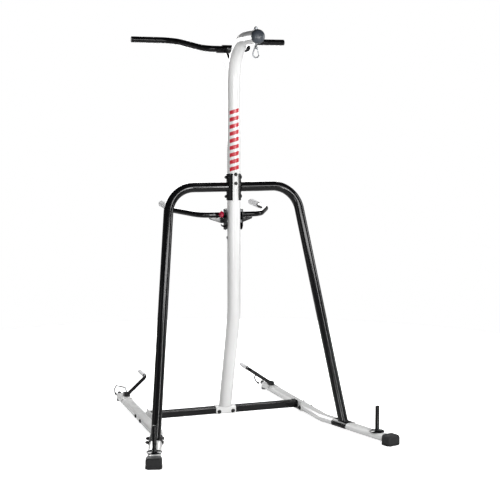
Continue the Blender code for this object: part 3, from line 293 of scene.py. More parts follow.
def make_materials():
    return {
        "white_paint": powder_coat("white_coat", (0.80, 0.80, 0.795), (0.77, 0.77, 0.765),
                                   (0.60, 0.59, 0.57), 0.16, 0.27, 0.35, 0.5, 0.25),
        "black_paint": powder_coat("black_coat", (0.0030, 0.0030, 0.0036), (0.0050, 0.0050, 0.0056),
                                   (0.045, 0.045, 0.047), 0.10, 0.18, 0.8, 0.32, 0.0),
        "black_rubber": moulded_rubber("boot_rubber", (0.010, 0.010, 0.011), (0.026, 0.026, 0.027)),
        "grey_foam": closed_cell_foam("grip_foam", (0.68, 0.68, 0.69), (0.46, 0.46, 0.47)),
        "grey_plastic": moulded_plastic("slate_plastic", (0.055, 0.064, 0.078), (0.045, 0.052, 0.064),
                                        0.30, 0.42, 0.35),
        "light_plastic": moulded_plastic("light_plastic_grain", (0.42, 0.43, 0.44), (0.36, 0.37, 0.38),
                                         0.38, 0.52, 0.4),
        "red_plastic": moulded_plastic("red_plastic_gloss", (0.46, 0.008, 0.045), (0.38, 0.007, 0.036),
                                       0.16, 0.26, 0.15),
        "black_steel": oxide_steel("black_oxide"),
        "zinc_steel": zinc_plate("bright_zinc", (0.26, 0.27, 0.285), 0.22, 0.38),
        "dull_zinc": zinc_plate("dull_zinc", (0.12, 0.125, 0.13), 0.34, 0.50),
    }


MATERIALS = make_materials()


# ---------------- mesh building
def add_object(name, data):
    thing = bpy.data.objects.new(name, data)
    bpy.context.scene.collection.objects.link(thing)
    return thing


def turned_inside_out(mesh):
    mesh.calc_loop_triangles()
    volume = 0.0
    for triangle in mesh.loop_triangles:
        first, second, third = (mesh.vertices[index].co for index in triangle.vertices)
        volume += first.dot(second.cross(third))
    return volume < 0.0


def add_piece(name, vertices, faces, body, slot, material=None, sharp=38.0):
    mesh = bpy.data.meshes.new(name)
    mesh.from_pydata([tuple(point) for point in vertices], [], faces)
    mesh.validate()
    if turned_inside_out(mesh):
        mesh.flip_normals()
    mesh.shade_smooth()
    mesh.set_sharp_from_angle(angle=math.radians(sharp))
    mesh.materials.append(material or MATERIALS[slot])
    piece = add_object(name, mesh)
    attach(piece, body)
    return piece


def skin(rings, closed=False):
    """Vertices and faces of a tube through equal rings, capped at its ends unless closed."""
    count = len(rings[0])
    vertices = [point for ring in rings for point in ring]
    faces = []
    spans = len(rings) if closed else len(rings) - 1
    for index in range(spans):
        low = index * count
        high = ((index + 1) % len(rings)) * count
        for step in range(count):
            after = (step + 1) % count
            faces.append((low + step, low + after, high + after, high + step))
    if not closed:
        faces.append(tuple(range(count))[::-1])
        last = (len(rings) - 1) * count
        faces.append(tuple(range(last, last + count)))
    return vertices, faces


def add_skin(name, rings, body, slot, material=None, sharp=38.0, closed=False):
    vertices, faces = skin(rings, closed)
    return add_piece(name, vertices, faces, body, slot, material, sharp)


def round_corners(piece, width, limit):
    """Rounds the edges that are sharper than a limit in degrees."""
    rounding = piece.modifiers.new("round", "BEVEL")
    rounding.width = width
    rounding.segments = 2
    rounding.limit_method = "ANGLE"
    rounding.angle_limit = math.radians(limit)


def basis(axis):
    """Two directions square to an axis, right-handed with it."""
    axis = Vector(axis).normalized()
    helper = UP if abs(axis.z) < 0.9 else BACK
    side = helper.cross(axis).normalized()
    return axis, side, axis.cross(side)


def arc(radius, start, stop, steps, centre=(0.0, 0.0)):
    """Flat points on a circle, from one angle to another in degrees."""
    angles = [math.radians(start + (stop - start) * step / steps) for step in range(steps + 1)]
    return [(centre[0] + radius * math.cos(angle), centre[1] + radius * math.sin(angle)) for angle in angles]


def circle(radius, sides):
    return arc(radius, 0.0, 360.0, sides)[:-1]


def ring_points(centre, side, lift, radius, count):
    return [centre + side * across + lift * above for across, above in circle(radius, count)]


def hexagon_points(centre, side, lift, corner, count):
    """Hexagon resampled to a point count that six divides."""
    flat = corner * math.cos(math.pi / 6.0)
    points = []
    for step in range(count):
        angle = 2.0 * math.pi * step / count
        within = (angle % (math.pi / 3.0)) - math.pi / 6.0
        radius = flat / math.cos(within)
        points.append(centre + side * (radius * math.cos(angle)) + lift * (radius * math.sin(angle)))
    return points


def turned_rings(origin, axis, stations, count=32):
    """Rings about an axis; a station is (distance, radius)."""
    axis, side, lift = basis(axis)
    return [ring_points(origin + axis * distance, side, lift, radius, count)
            for distance, radius in stations]


def sweep_rings(points, radii, count, closed=False, centre=None, guide=None):
    """Rings of given radii along a path, kept square to a guide, to a centre or from twisting."""
    total = len(points)
    rings = []
    lift = None
    for index, point in enumerate(points):
        before = points[index - 1] if index or closed else point
        after = points[(index + 1) % total] if index < total - 1 or closed else point
        tangent = (after - before).normalized()
        if centre is not None:
            toward = point - centre
        else:
            toward = guide or lift or basis(tangent)[1]
        lift = (toward - tangent * toward.dot(tangent)).normalized()
        rings.append(ring_points(point, tangent.cross(lift), lift, radii[index], count))
    return rings


def evenly(points, step, closed=False, multiple=1):
    """Points spaced evenly along a polyline, as many as a multiple divides."""
    corners = list(points) + ([points[0]] if closed else [])
    lengths = [(second - first).length for first, second in zip(corners, corners[1:])]
    total = sum(lengths)
    count = max(3, round(total / step)) // multiple * multiple
    result = []
    for index in range(count if closed else count + 1):
        wanted = total * index / count
        place = 0
        while place < len(lengths) - 1 and wanted > lengths[place]:
            wanted -= lengths[place]
            place += 1
        share = min(1.0, wanted / lengths[place]) if lengths[place] else 0.0
        result.append(corners[place].lerp(corners[place + 1], share))
    return result


WELD_PITCH = 0.0030
WELD_STEPS = 5
WELD_THIN = 0.0020
WELD_THICK = 0.0026


def weld_bead(name, path, radius, body, slot, closed=True):
    """Stacked-scale bead along a seam."""
    points = evenly(path, WELD_PITCH / WELD_STEPS, closed, WELD_STEPS if closed else 1)
    radii = []
    for index in range(len(points)):
        phase = (index % WELD_STEPS) / WELD_STEPS
        end = min(index, len(points) - 1 - index) / (WELD_STEPS * 1.5)
        taper = 1.0 if closed else min(1.0, 0.35 + end)
        radii.append(radius * (0.80 + 0.22 * math.sin(math.pi * phase)) * taper)
    centre = sum(points, Vector()) / len(points) if closed else None
    return add_skin(name, sweep_rings(points, radii, 8, closed, centre),
                    body, slot, sharp=75.0, closed=closed)


def node_points(node):
    return [vertex.co.copy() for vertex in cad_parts[node].data.vertices]


def node_tree_of(node):
    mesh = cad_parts[node].data
    return BVHTree.FromPolygons([vertex.co for vertex in mesh.vertices],
                                [tuple(face.vertices) for face in mesh.polygons])


def long_axis(node):
    """Centre line of a turned CAD node: a point on it, its direction and the vertices along and off it."""
    cloud = np.array([tuple(point) for point in node_points(node)])
    centre = (cloud.min(0) + cloud.max(0)) / 2.0
    unique = np.unique(np.round(cloud, 6), axis=0)
    _, _, directions = np.linalg.svd(unique - unique.mean(0), full_matrices=False)
    axis = directions[0]
    offsets = unique - centre
    along = offsets @ axis
    off = offsets - np.outer(along, axis)
    centre = centre + off[np.argsort(along)].mean(0)
    offsets = unique - centre
    along = offsets @ axis
    off = np.linalg.norm(offsets - np.outer(along, axis), axis=1)
    return Vector(centre), Vector(axis), along, off


# ---------------- fasteners
DOME_TURN = 83.076923         # degrees of a nut's dome, short of its pole


def shaped_rings(face, axis, stations):
    """Rings about an axis; a station is (outline, distance, radius)."""
    axis, side, lift = basis(axis)
    return [outline(face + axis * distance, side, lift, radius, 24)
            for outline, distance, radius in stations]


def socket_head(face, axis, radius, height):
    """Rings of a button head, from its seat over the dome and down into a hexagon socket."""
    stations = [(ring_points, -0.0004, radius * 0.55), (ring_points, -0.0004, radius * 0.985)]
    stations += [(ring_points, height * (0.18 + 0.82 * rise), radius * (0.62 + 0.38 * reach))
                 for reach, rise in arc(1.0, 0.0, 90.0, 6)]
    socket = radius * 0.44
    stations += [(ring_points, height, radius * 0.52), (hexagon_points, height - 0.0003, socket),
                 (hexagon_points, height * 0.35, socket * 0.97), (ring_points, height * 0.22, socket * 0.35)]
    return shaped_rings(face, axis, stations)


def dome_nut(face, axis, corner, flat, height):
    """Rings of an acorn nut: hexagon, chamfer, collar and dome."""
    inner = corner * math.cos(math.pi / 6.0)
    stations = [(ring_points, -0.0003, inner * 0.9), (hexagon_points, 0.0002, corner * 0.97),
                (hexagon_points, 0.0010, corner), (hexagon_points, flat - 0.0008, corner),
                (ring_points, flat, inner * 0.95)]
    stations += [(ring_points, flat + 0.0004 + (height - flat) * rise, inner * 0.86 * reach)
                 for reach, rise in arc(1.0, 0.0, DOME_TURN, 6)]
    return shaped_rings(face, axis, stations)


def washer(name, face, axis, inner, outer, body):
    half = 0.0006
    stations = ((-half, inner), (-half, outer - 0.0004), (-half + 0.0004, outer), (half - 0.0003, outer),
                (half, outer - 0.0003), (half, inner))
    return add_skin(name, turned_rings(face, axis, stations, 28), body, "black_steel", closed=True)


def dress_bolt(node, body):
    """Replaces a plain CAD bolt with a socket button head, washers and an acorn nut."""
    centre, axis, along, off = long_axis(node)
    wide = np.sort(along[off > off.max() * 0.75])
    gaps = np.diff(wide)
    widest = int(np.argmax(gaps))
    low_end, high_end = along.min(), along.max()
    low_face, high_face = wide[widest], wide[widest + 1]
    if low_face - low_end > high_end - high_face:
        axis = -axis
        low_end, low_face, high_end, high_face = -high_end, -high_face, -low_end, -low_face
    head_height = low_face - low_end
    nut_height = high_end - high_face
    radius = off.max()
    head_face = centre + axis * low_face
    nut_face = centre + axis * high_face
    rings = socket_head(head_face, -axis, radius, head_height)
    head = add_skin(node + "_head", rings, body, "black_steel")
    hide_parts(node)
    add_skin(node + "_nut", dome_nut(nut_face, axis, radius, nut_height * 0.55, nut_height),
             body, "black_steel")
    shank = radius * 0.5
    washer(node + "_head_washer", head_face, axis, shank, radius * 1.16, body)
    washer(node + "_nut_washer", nut_face, axis, shank, radius * 1.16, body)


def dress_screw(node, outward, body):
    low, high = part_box(node)
    centre = (low + high) / 2.0
    radius = (high.x - low.x) / 2.0
    height = radius * 0.60
    face = Vector((centre.x, low.y + height, centre.z))
    head = add_skin(node + "_head", socket_head(face, outward, radius, height), body, "black_steel")
    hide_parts(node)
    washer(node + "_washer", face, outward, radius * 0.5, radius * 1.15, body)


def is_bolt(node):
    return "_bolt_" in node and not node.startswith("eye_bolt")


def dress_fasteners():
    for node in sorted(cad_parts):
        if is_bolt(node):
            dress_bolt(node, "stand")
        elif node.startswith("post_screw"):
            dress_screw(node, (0.0, -1.0, 0.0), "stand")


# ---------------- soft grips
GRIP_LIP = 0.0022
GRIP_DOME = 0.0066
GRIP_DOME_TURN = 77.142857    # degrees of the closed end, short of its pole
GRIP_SPANS = 47
GRIP_BORE = 0.80              # share of the outer radius
GRIP_RIPPLE = 0.00035
GRIP_CROWN = 0.0004
GRIP_LUMP = 0.00022
GRIP_SHRINK = 0.0006


def dress_grip(node, body):
    """Foam sleeve: crowned, with a rolled inner lip, a domed end and faint dents from hands."""
    centre, axis, along, off = long_axis(node)
    inner_end = off[along < along.min() + GRIP_LIP].min()
    outer_end = off[along > along.max() - GRIP_LIP].min()
    if outer_end > inner_end:
        axis = -axis
    length = along.max() - along.min()
    radius = off.max()
    start = centre - axis * length / 2.0
    bore = radius * GRIP_BORE
    stations = [(0.004, bore), (0.0006, bore), (0.0, bore + 0.0008), (0.0, radius - 0.0016)]
    stations += [(GRIP_LIP * (1.0 - reach), radius - 0.0014 + 0.0014 * rise)
                 for reach, rise in arc(1.0, 0.0, 90.0, 4)]
    stations += [(GRIP_LIP + (length - 0.0090) * step / GRIP_SPANS, radius) for step in range(1, GRIP_SPANS)]
    stations += [(length - GRIP_DOME * (1.0 - rise), radius * (0.30 + 0.70 * reach))
                 for reach, rise in arc(1.0, 0.0, GRIP_DOME_TURN, 6)]
    stations += [(length - 0.0004, radius * 0.22), (length - 0.0012, radius * 0.16)]
    rings = turned_rings(start, axis, stations, 48)
    main = basis(axis)[0]
    shaped = []
    for ring, (distance, reach) in zip(rings, stations):
        middle = start + main * distance
        share = distance / length
        squeeze = (GRIP_RIPPLE * math.sin(share * math.pi * 9.0) + GRIP_CROWN * math.sin(share * math.pi)
                   - GRIP_SHRINK)
        level = []
        for step, point in enumerate(ring):
            spoke = point - middle
            lump = GRIP_LUMP * math.sin(step * 0.9 + share * 23.0) * math.sin(step * 0.31 + share * 11.0)
            change = (squeeze + lump) if reach > radius * 0.95 else 0.0
            level.append(middle + spoke * (1.0 + change / max(reach, 1e-6)))
        shaped.append(level)
    grip = add_skin(node + "_foam", shaped, body, "grey_foam", sharp=60.0)
    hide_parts(node)


# ---------------- pull pin
KNOB_LOBES = 9.0
KNOB_SCALLOP = 0.075
KNOB_DRAWN_RADIUS = 0.0185    # the stations below are drawn for this radius
KNOB_SEAT = 0.0100


def dress_pull_pin():
    """Scalloped knob on a steel pin."""
    low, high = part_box("pull_pin")
    centre = (low + high) / 2.0
    knob_radius = (high.y - low.y) / 2.0
    seat = high.x - KNOB_SEAT
    stations = [
        (0.0110, 0.0085, 0.0), (0.0110, 0.0120, 0.0), (0.0118, 0.0132, 0.0), (0.0135, 0.0150, 0.3),
        (0.0155, 0.0170, 0.8), (0.0190, 0.0184, 1.0), (0.0225, 0.0185, 1.0), (0.0262, 0.0178, 1.0),
        (0.0290, 0.0160, 0.7), (0.0312, 0.0132, 0.2), (0.0324, 0.0098, 0.0), (0.0329, 0.0075, 0.0),
        (0.0322, 0.0066, 0.0), (0.0319, 0.0030, 0.0),
    ]
    count = 96
    rings = []
    for distance, radius, depth in stations:
        ring = []
        for step in range(count):
            angle = 2.0 * math.pi * step / count
            scallop = 1.0 - KNOB_SCALLOP * depth * (0.5 - 0.5 * math.cos(KNOB_LOBES * angle)) ** 2
            reach = radius * scallop * knob_radius / KNOB_DRAWN_RADIUS
            ring.append(Vector((seat - distance, centre.y + reach * math.cos(angle),
                                centre.z + reach * math.sin(angle))))
        rings.append(ring[::-1])
    knob = add_skin("pull_pin_knob", rings, "pull_pin", "red_plastic", sharp=50.0)
    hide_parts("pull_pin")
    spot = Vector((seat, centre.y, centre.z))
    stations = ((-0.0100, 0.0026), (-0.0088, 0.0043), (-0.0080, 0.0046), (0.0104, 0.0046), (0.0104, 0.0076),
                (0.0112, 0.0076))
    add_skin("pull_pin_shaft", turned_rings(spot, (-1, 0, 0), stations, 28), "pull_pin", "zinc_steel")


# ---------------- bag hook
HOOK_WIRE = 0.0033
HOOK_TOP = 0.0086
HOOK_BELLY = 0.0162
HOOK_DROP = 0.0295
GATE_GAP = 0.0030
GATE_NECKS = ((0.16, 0.14, 0.05), (0.10, 0.92, 0.04))  # depth, place and width of each, as shares
EYE_RING = 0.0095
EYE_WIRE = 0.0035
EYE_TURN = (87.642857, -242.357143)  # degrees from the shank round the eye
SHANK_RADIUS = 0.0050
THREAD_PITCH = 0.0015


def hook_outline():
    """Pear outline from the nose round the top to the hinge, as (across, above) from the pivot."""
    return [(HOOK_TOP * 1.02, -0.0085), *arc(HOOK_TOP, -8.0, 188.0, 24),
            (-HOOK_BELLY * 0.66, -0.0085), (-HOOK_BELLY * 0.82, -0.0150),
            *arc(HOOK_BELLY, 172.0, 352.0, 28, (0.0, -HOOK_DROP))]


def dress_hook():
    low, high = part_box("snap_hook")
    pivot = Vector((0.0, (low.y + high.y) / 2.0, high.z - HOOK_TOP - HOOK_WIRE))
    path = [pivot + Vector((across, 0.0, above)) for across, above in hook_outline()]
    nose, hinge = path[0], path[-1]
    body_path = evenly(path, 0.0011)
    radii = [HOOK_WIRE] * len(body_path)
    for index in range(4):
        radii[index] = HOOK_WIRE * (0.70 + 0.075 * index)
        radii[-1 - index] = HOOK_WIRE * (0.86 + 0.035 * index)
    wire = add_skin("snap_hook_wire", sweep_rings(body_path, radii, 20, guide=BACK),
                    "snap_hook", "zinc_steel", sharp=60.0)
    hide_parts("snap_hook")

    along = (nose - hinge).normalized()
    reach = (nose - hinge).length
    gate_path = evenly([hinge + along * GATE_GAP, hinge + along * (reach - GATE_GAP)], 0.0011)
    radii = []
    for index in range(len(gate_path)):
        share = index / (len(gate_path) - 1)
        necks = [depth * math.exp(-((share - place) / width) ** 2) for depth, place, width in GATE_NECKS]
        radii.append(HOOK_WIRE * 0.80 * (1.0 - sum(necks)))
    radii[0] *= 0.8
    radii[-1] *= 0.75
    gate = add_skin("snap_gate_bar", sweep_rings(gate_path, radii, 20, guide=BACK),
                    "snap_hook_gate", "zinc_steel", sharp=60.0)
    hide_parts("snap_hook_gate")
    rivet = hinge + along * GATE_GAP
    stations = ((-0.0034, 0.0009), (-0.0032, 0.0015), (-0.0028, 0.0017), (0.0028, 0.0017), (0.0032, 0.0015),
                (0.0034, 0.0009))
    add_skin("snap_gate_rivet", turned_rings(rivet, (0, 1, 0), stations, 18),
             "snap_hook_gate", "zinc_steel")


def dress_eye_bolt():
    """Bent eye with a threaded shank; its nut stays as the CAD has it."""
    shank_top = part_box("eye_bolt")[1].z
    spot_low, spot_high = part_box("eye_bolt_nut")
    axis_y = (spot_low.y + spot_high.y) / 2.0
    arm_bottom = ARM_Z - POST_RADIUS
    shank_end = arm_bottom - 0.0040
    eye_centre = Vector((0.0, axis_y, shank_end - EYE_RING - EYE_WIRE * 0.2))
    path = [Vector((0.0, axis_y, shank_top - 0.0185)), Vector((0.0, axis_y, shank_end + 0.0005))]
    path += [eye_centre + Vector((0.0, along, above)) for along, above in arc(EYE_RING, *EYE_TURN, 28)]
    path = evenly(path, 0.0012)
    radii = []
    for point in path:
        share = min(1.0, max(0.0, (point.z - eye_centre.z - EYE_RING * 0.75) / 0.006))
        radii.append(EYE_WIRE + (SHANK_RADIUS - 0.0004 - EYE_WIRE) * share)
    eye = add_skin("eye_bolt_bend", sweep_rings(path, radii, 20, guide=ACROSS),
                   "stand", "zinc_steel", sharp=60.0)
    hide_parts("eye_bolt")

    thread_low = shank_top - 0.0180
    turns = int((shank_top - 0.0010 - thread_low) / THREAD_PITCH)
    stations = [(0.0, SHANK_RADIUS * 0.60), (0.0, SHANK_RADIUS * 0.84)]
    for turn in range(turns):
        start = turn * THREAD_PITCH
        stations += [(start + THREAD_PITCH * share, SHANK_RADIUS * reach)
                     for share, reach in ((0.35, 1.0), (0.55, 1.0), (1.0, 0.84))]
    stations.append((shank_top - thread_low, SHANK_RADIUS * 0.62))
    add_skin("eye_bolt_thread", turned_rings(Vector((0.0, axis_y, thread_low)), (0, 0, 1), stations, 28),
             "stand", "zinc_steel", sharp=30.0)


# ---------------- weld seams
SEAM_SEARCH = 0.12            # how far up a tube the search for its seam starts
FOOT_STRETCH = 1.02           # the post leans at its foot, so its end is a slightly long oval
FOOT_REACH = 1.015            # from the middle of that oval to its back, in post radii


def seam_round_tube(point, direction, radius, target, stand_off, steps=72):
    """Where a tube's surface comes down on a piece, as a loop of points."""
    axis, side, lift = basis(direction)
    tree = node_tree_of(target)
    loop = []
    for start in ring_points(point, side, lift, radius, steps):
        hit, normal, _, _ = tree.ray_cast(start, axis)
        if hit is not None:
            loop.append(hit - axis * (stand_off / max(0.25, abs(normal.dot(axis)))))
    return loop


def weld_frame(label, side):
    corner = at_side(side, *FRAME_CORNER)
    foot = at_side(side, *FRAME_FOOT)
    direction = (foot - corner).normalized()
    start = foot - direction * SEAM_SEARCH
    loop = seam_round_tube(start, direction, FRAME_RADIUS, "base_leg_" + label, SADDLE_WALL + TOUCH)
    weld_bead("weld_frame_foot_" + label, loop, 0.0028, "stand", "black_paint")

    plate = POST_RADIUS + POST_PLATE_WALL + TOUCH
    loop = [at_side(side, math.sqrt(plate * plate - along * along) + 0.0004, along, FRAME_CORNER[2] + above)
            for along, above in circle(FRAME_RADIUS, 64)]
    weld_bead("weld_frame_post_" + label, loop, WELD_THICK, "stand", "black_paint")


def rounded_rectangle(half_wide, half_high, corner, steps=6):
    wide, high = half_wide - corner, half_high - corner
    points = []
    for start, centre in ((0.0, (wide, high)), (90.0, (-wide, high)), (180.0, (-wide, -high)),
                          (270.0, (wide, -high))):
        points += arc(corner, start, start + 90.0, steps, centre)
    return points


def weld_crossbar(label, side):
    low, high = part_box("crossbar_" + label)
    plate_low, plate_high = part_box("joint_plate_" + label)
    inner_x = min(abs(plate_low.x), abs(plate_high.x))
    centre = (low + high) / 2.0
    outline = rounded_rectangle((high.y - low.y) / 2.0 + 0.0004, (high.z - low.z) / 2.0 - 0.0004, 0.008)
    loop = [Vector((side * (inner_x - 0.0012), centre.y + y, centre.z + z)) for y, z in outline]
    weld_bead("weld_crossbar_" + label, loop, WELD_THIN, "stand", "black_paint")


def weld_post_foot():
    low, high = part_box("lower_post")
    socket_low, socket_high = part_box("post_foot_socket")
    centre_y = high.y - POST_RADIUS * FOOT_REACH
    for label, side in SIDES:
        seam = []
        for across, along in arc(1.0, -62.0, 62.0, 40):
            y = centre_y + POST_RADIUS * FOOT_STRETCH * along
            if socket_low.y + 0.004 < y < socket_high.y - 0.004:
                seam.append(Vector((side * (POST_RADIUS + 0.0006) * across, y, low.z + 0.0006)))
        weld_bead("weld_post_foot_" + label, seam, WELD_THICK, "stand", "white_paint", closed=False)


def weld_gusset():
    tree = node_tree_of("upper_post")
    low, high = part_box("pull_up_gusset")
    for label, side in SIDES:
        x = side * (high.x + 0.0010)
        seam = []
        for step in range(40):
            z = low.z + 0.003 + (high.z - low.z - 0.006) * step / 39.0
            hit, _, _, _ = tree.ray_cast(Vector((x, high.y + 0.2, z)), Vector((0, -1, 0)))
            seam.append(hit + Vector((0.0, 0.0006, 0.0)))
        weld_bead("weld_gusset_post_" + label, seam, 0.0023, "stand", "white_paint", closed=False)
        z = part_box("pull_up_cradle")[0].z - 0.0006
        seam = [Vector((x, seam[-1].y + 0.006, z)), Vector((x, high.y - 0.006, z))]
        weld_bead("weld_gusset_top_" + label, seam, WELD_THIN, "stand", "black_paint", closed=False)


def weld_pegs():
    for label, _ in SIDES:
        low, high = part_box("weight_peg_" + label)
        centre = (low + high) / 2.0
        loop = ring_points(Vector((centre.x, centre.y, low.z + 0.0056)), ACROSS, BACK, 0.0125, 60)
        weld_bead("weld_peg_" + label, loop, WELD_THIN, "stand", "black_paint")


def weld_dip_bar():
    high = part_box("dip_carriage")[1]
    brace_low, brace_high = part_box("dip_brace")
    back = high.y + 0.0012
    reach = high.x - 0.006
    for label, z in (("top", brace_high.z + 0.0262), ("brace", brace_low.z - 0.0005)):
        seam = [Vector((-reach, back, z)), Vector((reach, back, z))]
        weld_bead("weld_dip_" + label, seam, 0.0022, "dip_station", "black_paint", closed=False)
    for label, side in SIDES:
        x = side * (high.x + 0.0006)
        seam = [Vector((x, back, brace_low.z + 0.004)), Vector((x, back, brace_low.z + 0.026))]
        weld_bead("weld_dip_side_" + label, seam, WELD_THIN, "dip_station", "black_paint", closed=False)
        y, z = brace_high.y - 0.0004, brace_high.z - 0.0002
        seam = [Vector((side * 0.012, y, z)), Vector((side * 0.092, y, z))]
        weld_bead("weld_brace_bar_" + label, seam, WELD_THIN, "dip_station", "black_paint", closed=False)


def add_welds():
    for label, side in SIDES:
        weld_frame(label, side)
        weld_crossbar(label, side)
    weld_post_foot()
    weld_gusset()
    weld_pegs()
    weld_dip_bar()


# ---------------- boots and ends
def leg_axes(side):
    direction = Vector((side * math.sin(LEG_SPLAY), -math.cos(LEG_SPLAY), 0.0))
    across = direction.cross(UP)
    front = at_side(side, *LEG_FRONT, 0.0)
    return front, direction, across


def add_block(name, origin, axes, size, bevel, body, slot):
    """Bevelled block from the middle of its start face; axes and size are along, across and up."""
    along, across, lift = axes
    length, wide, high = size
    stations = ((0.0, -bevel), (bevel, 0.0), (length - bevel, 0.0), (length, -bevel))
    rings = []
    for distance, change in stations:
        outline = rounded_rectangle(wide / 2.0 + change, high / 2.0 + change, min(wide, high) * 0.22, 3)
        rings.append([origin + along * distance + across * a + lift * b for a, b in outline])
    return add_skin(name, rings, body, slot)


BOOT_LIP_RADIUS = 0.0022
BOOT_LIP_BACK = 0.0400
BOOT_RIBS = 9
BOOT_RIB_PITCH = 0.0052
BOOT_RIB_START = 0.0345
BOOT_RIB_OUT = 0.0413
BOOT_RIB_Z = 0.0075
BOOT_RIB_HIGH = 0.0130
BOOT_TOE_PITCH = 0.0075
BOOT_TOE_OUT = 0.0135
BOOT_TAB_Z = 0.0566


def dress_boots():
    """Rolled lip, ribbed walls and toe, and a moulded tab on top of each front boot."""
    for label, side in SIDES:
        front, direction, across = leg_axes(side)

        def on_boot(along, wide, high):
            return front + direction * along + across * wide + UP * high

        outline = rounded_rectangle(0.0368, 0.0208, 0.0205, 8)
        points = evenly([on_boot(-BOOT_LIP_BACK, a, LEG_Z + b) for a, b in outline], 0.003, True)
        centre = sum(points, Vector()) / len(points)
        rings = sweep_rings(points, [BOOT_LIP_RADIUS] * len(points), 10, True, centre)
        add_skin("boot_lip_" + label, rings, "stand", "black_rubber", sharp=80.0, closed=True)
        axes = (direction, across, UP)
        for wall in (-1.0, 1.0):
            for index in range(BOOT_RIBS):
                origin = on_boot(BOOT_RIB_PITCH * index - BOOT_RIB_START, wall * BOOT_RIB_OUT, BOOT_RIB_Z)
                name = "boot_rib_%s_%s_%d" % (label, "in" if wall < 0 else "out", index)
                add_block(name, origin, axes, (0.0030, 0.0018, BOOT_RIB_HIGH), 0.0004, "stand",
                          "black_rubber")
        for index in range(BOOT_RIBS):
            origin = on_boot(BOOT_TOE_OUT, BOOT_TOE_PITCH * (index - BOOT_RIBS // 2), BOOT_RIB_Z)
            add_block("boot_toe_rib_%s_%d" % (label, index), origin, axes, (0.0045, 0.0038, BOOT_RIB_HIGH),
                      0.0005, "stand", "black_rubber")
        add_block("boot_tab_" + label, on_boot(-0.022, 0.0, BOOT_TAB_Z), axes, (0.020, 0.030, 0.0016),
                  0.0005, "stand", "black_rubber")


def soften(node, width):
    """Small round on the corners of a carried-over CAD node, with even shading."""
    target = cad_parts[node]
    joined = target.modifiers.new("join", "WELD")
    joined.merge_threshold = 0.00002
    round_corners(target, width, 42.0)
    even = target.modifiers.new("even", "WEIGHTED_NORMAL")
    even.weight = 60


def dress_cad_nodes():
    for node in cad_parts.values():
        slot = node.data.materials[0].name.split(".")[0]
        node.data.materials[0] = MATERIALS[slot]
    rounds = {
        "front_boot": 0.0016, "crossbar": 0.0006, "joint_plate": 0.0006, "handle_saddle": 0.0006,
        "dip_carriage": 0.0008, "dip_brace": 0.0007, "pull_up_strap": 0.0007, "pull_up_cradle": 0.0006,
        "pull_up_gusset": 0.0009, "rear_cap": 0.0010, "carriage_hook": 0.0009, "eye_bolt_nut": 0.0004,
        "post_foot_socket": 0.0006, "pin_housing": 0.0004, "band_peg": 0.0003, "pull_up_bar_plug": 0.0003,
    }
    for node in sorted(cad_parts):
        for start, width in rounds.items():
            if node.startswith(start) and not is_bolt(node):
                soften(node, width)


# ---------------- post details
MARK_LOW_Z = 1.425
MARK_BARS = 9
MARK_STEPS = 20
MARK_PITCH = 0.0385
MARK_HEIGHT = 0.0215
MARK_SLANT = 0.016
MARK_TURN = math.radians(-12.0)
MARK_HALF_ANGLE = math.radians(44.0)


def add_post_mark():
    """Plain slanted bars printed up the front of the upper post."""
    inner, outer = POST_RADIUS - 0.0002, POST_RADIUS + 0.00025
    vertices, faces = [], []
    for bar in range(MARK_BARS):
        rings = []
        for step in range(MARK_STEPS + 1):
            share = step / MARK_STEPS * 2.0 - 1.0
            angle = MARK_TURN + MARK_HALF_ANGLE * share
            low = MARK_LOW_Z + bar * MARK_PITCH + MARK_SLANT * share * 0.5
            high = low + MARK_HEIGHT
            rings.append([at_post(reach * math.sin(angle), -reach * math.cos(angle), z)
                          for reach, z in ((inner, low), (outer, low), (outer, high), (inner, high))])
        points, sides = skin(rings)
        faces += [tuple(index + len(vertices) for index in face) for face in sides]
        vertices += points
    add_piece("post_mark_bars", vertices, faces, "stand", "red_plastic", screen_print("red_ink"), 50.0)


def add_hole_bushing():
    spot = at_post(-POST_RADIUS - 0.0002, LOW_PIN_HOLE[0], LOW_PIN_HOLE[1])
    stations = ((-0.0030, 0.0052), (-0.0030, 0.0062), (-0.0002, 0.0066), (0.0004, 0.0094), (0.0012, 0.0092),
                (0.0020, 0.0078), (0.0020, 0.0058), (0.0014, 0.0052))
    add_skin("pin_hole_bushing", turned_rings(spot, (-1, 0, 0), stations, 32),
             "stand", "zinc_steel", closed=True)
    # painted shade: a near-black steel dish closes the bore just below the surface, in place of the open
    # hole's dark inside
    stations = ((-0.0020, 0.0053), (0.0002, 0.0053), (0.0003, 0.0040), (-0.0006, 0.0020))
    add_skin("pin_hole_painted_shade", turned_rings(spot, (-1, 0, 0), stations, 24), "stand", "black_steel")


PAD_RIVET = ((-0.0004, 0.0030), (0.0, 0.0042), (0.0008, 0.0041), (0.0016, 0.0030), (0.0019, 0.0012))


def add_carriage_pads():
    """Nylon slide pads between the carriage and the post, each held by a rivet."""
    low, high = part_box("dip_carriage")
    for label, side in SIDES:
        levels = (("low", low.z + 0.046), ("high", high.z - 0.010))
        for level, z in levels:
            origin = Vector((side * (POST_RADIUS + 0.0046), low.y + 0.012, z))
            add_block("slide_pad_%s_%s" % (level, label), origin, (BACK, ACROSS, UP),
                      (0.030, 0.0066, 0.014), 0.0008, "dip_station", "light_plastic")
        for level, z in levels:
            spot = Vector((side * high.x, low.y + 0.040, z))
            add_skin("pad_rivet_%s_%s" % (level, label), turned_rings(spot, (side, 0, 0), PAD_RIVET, 24),
                     "dip_station", "black_steel")


# ---------------- smooth tubes
TUBE_SIDES = 56
END_ROUND = 0.0008


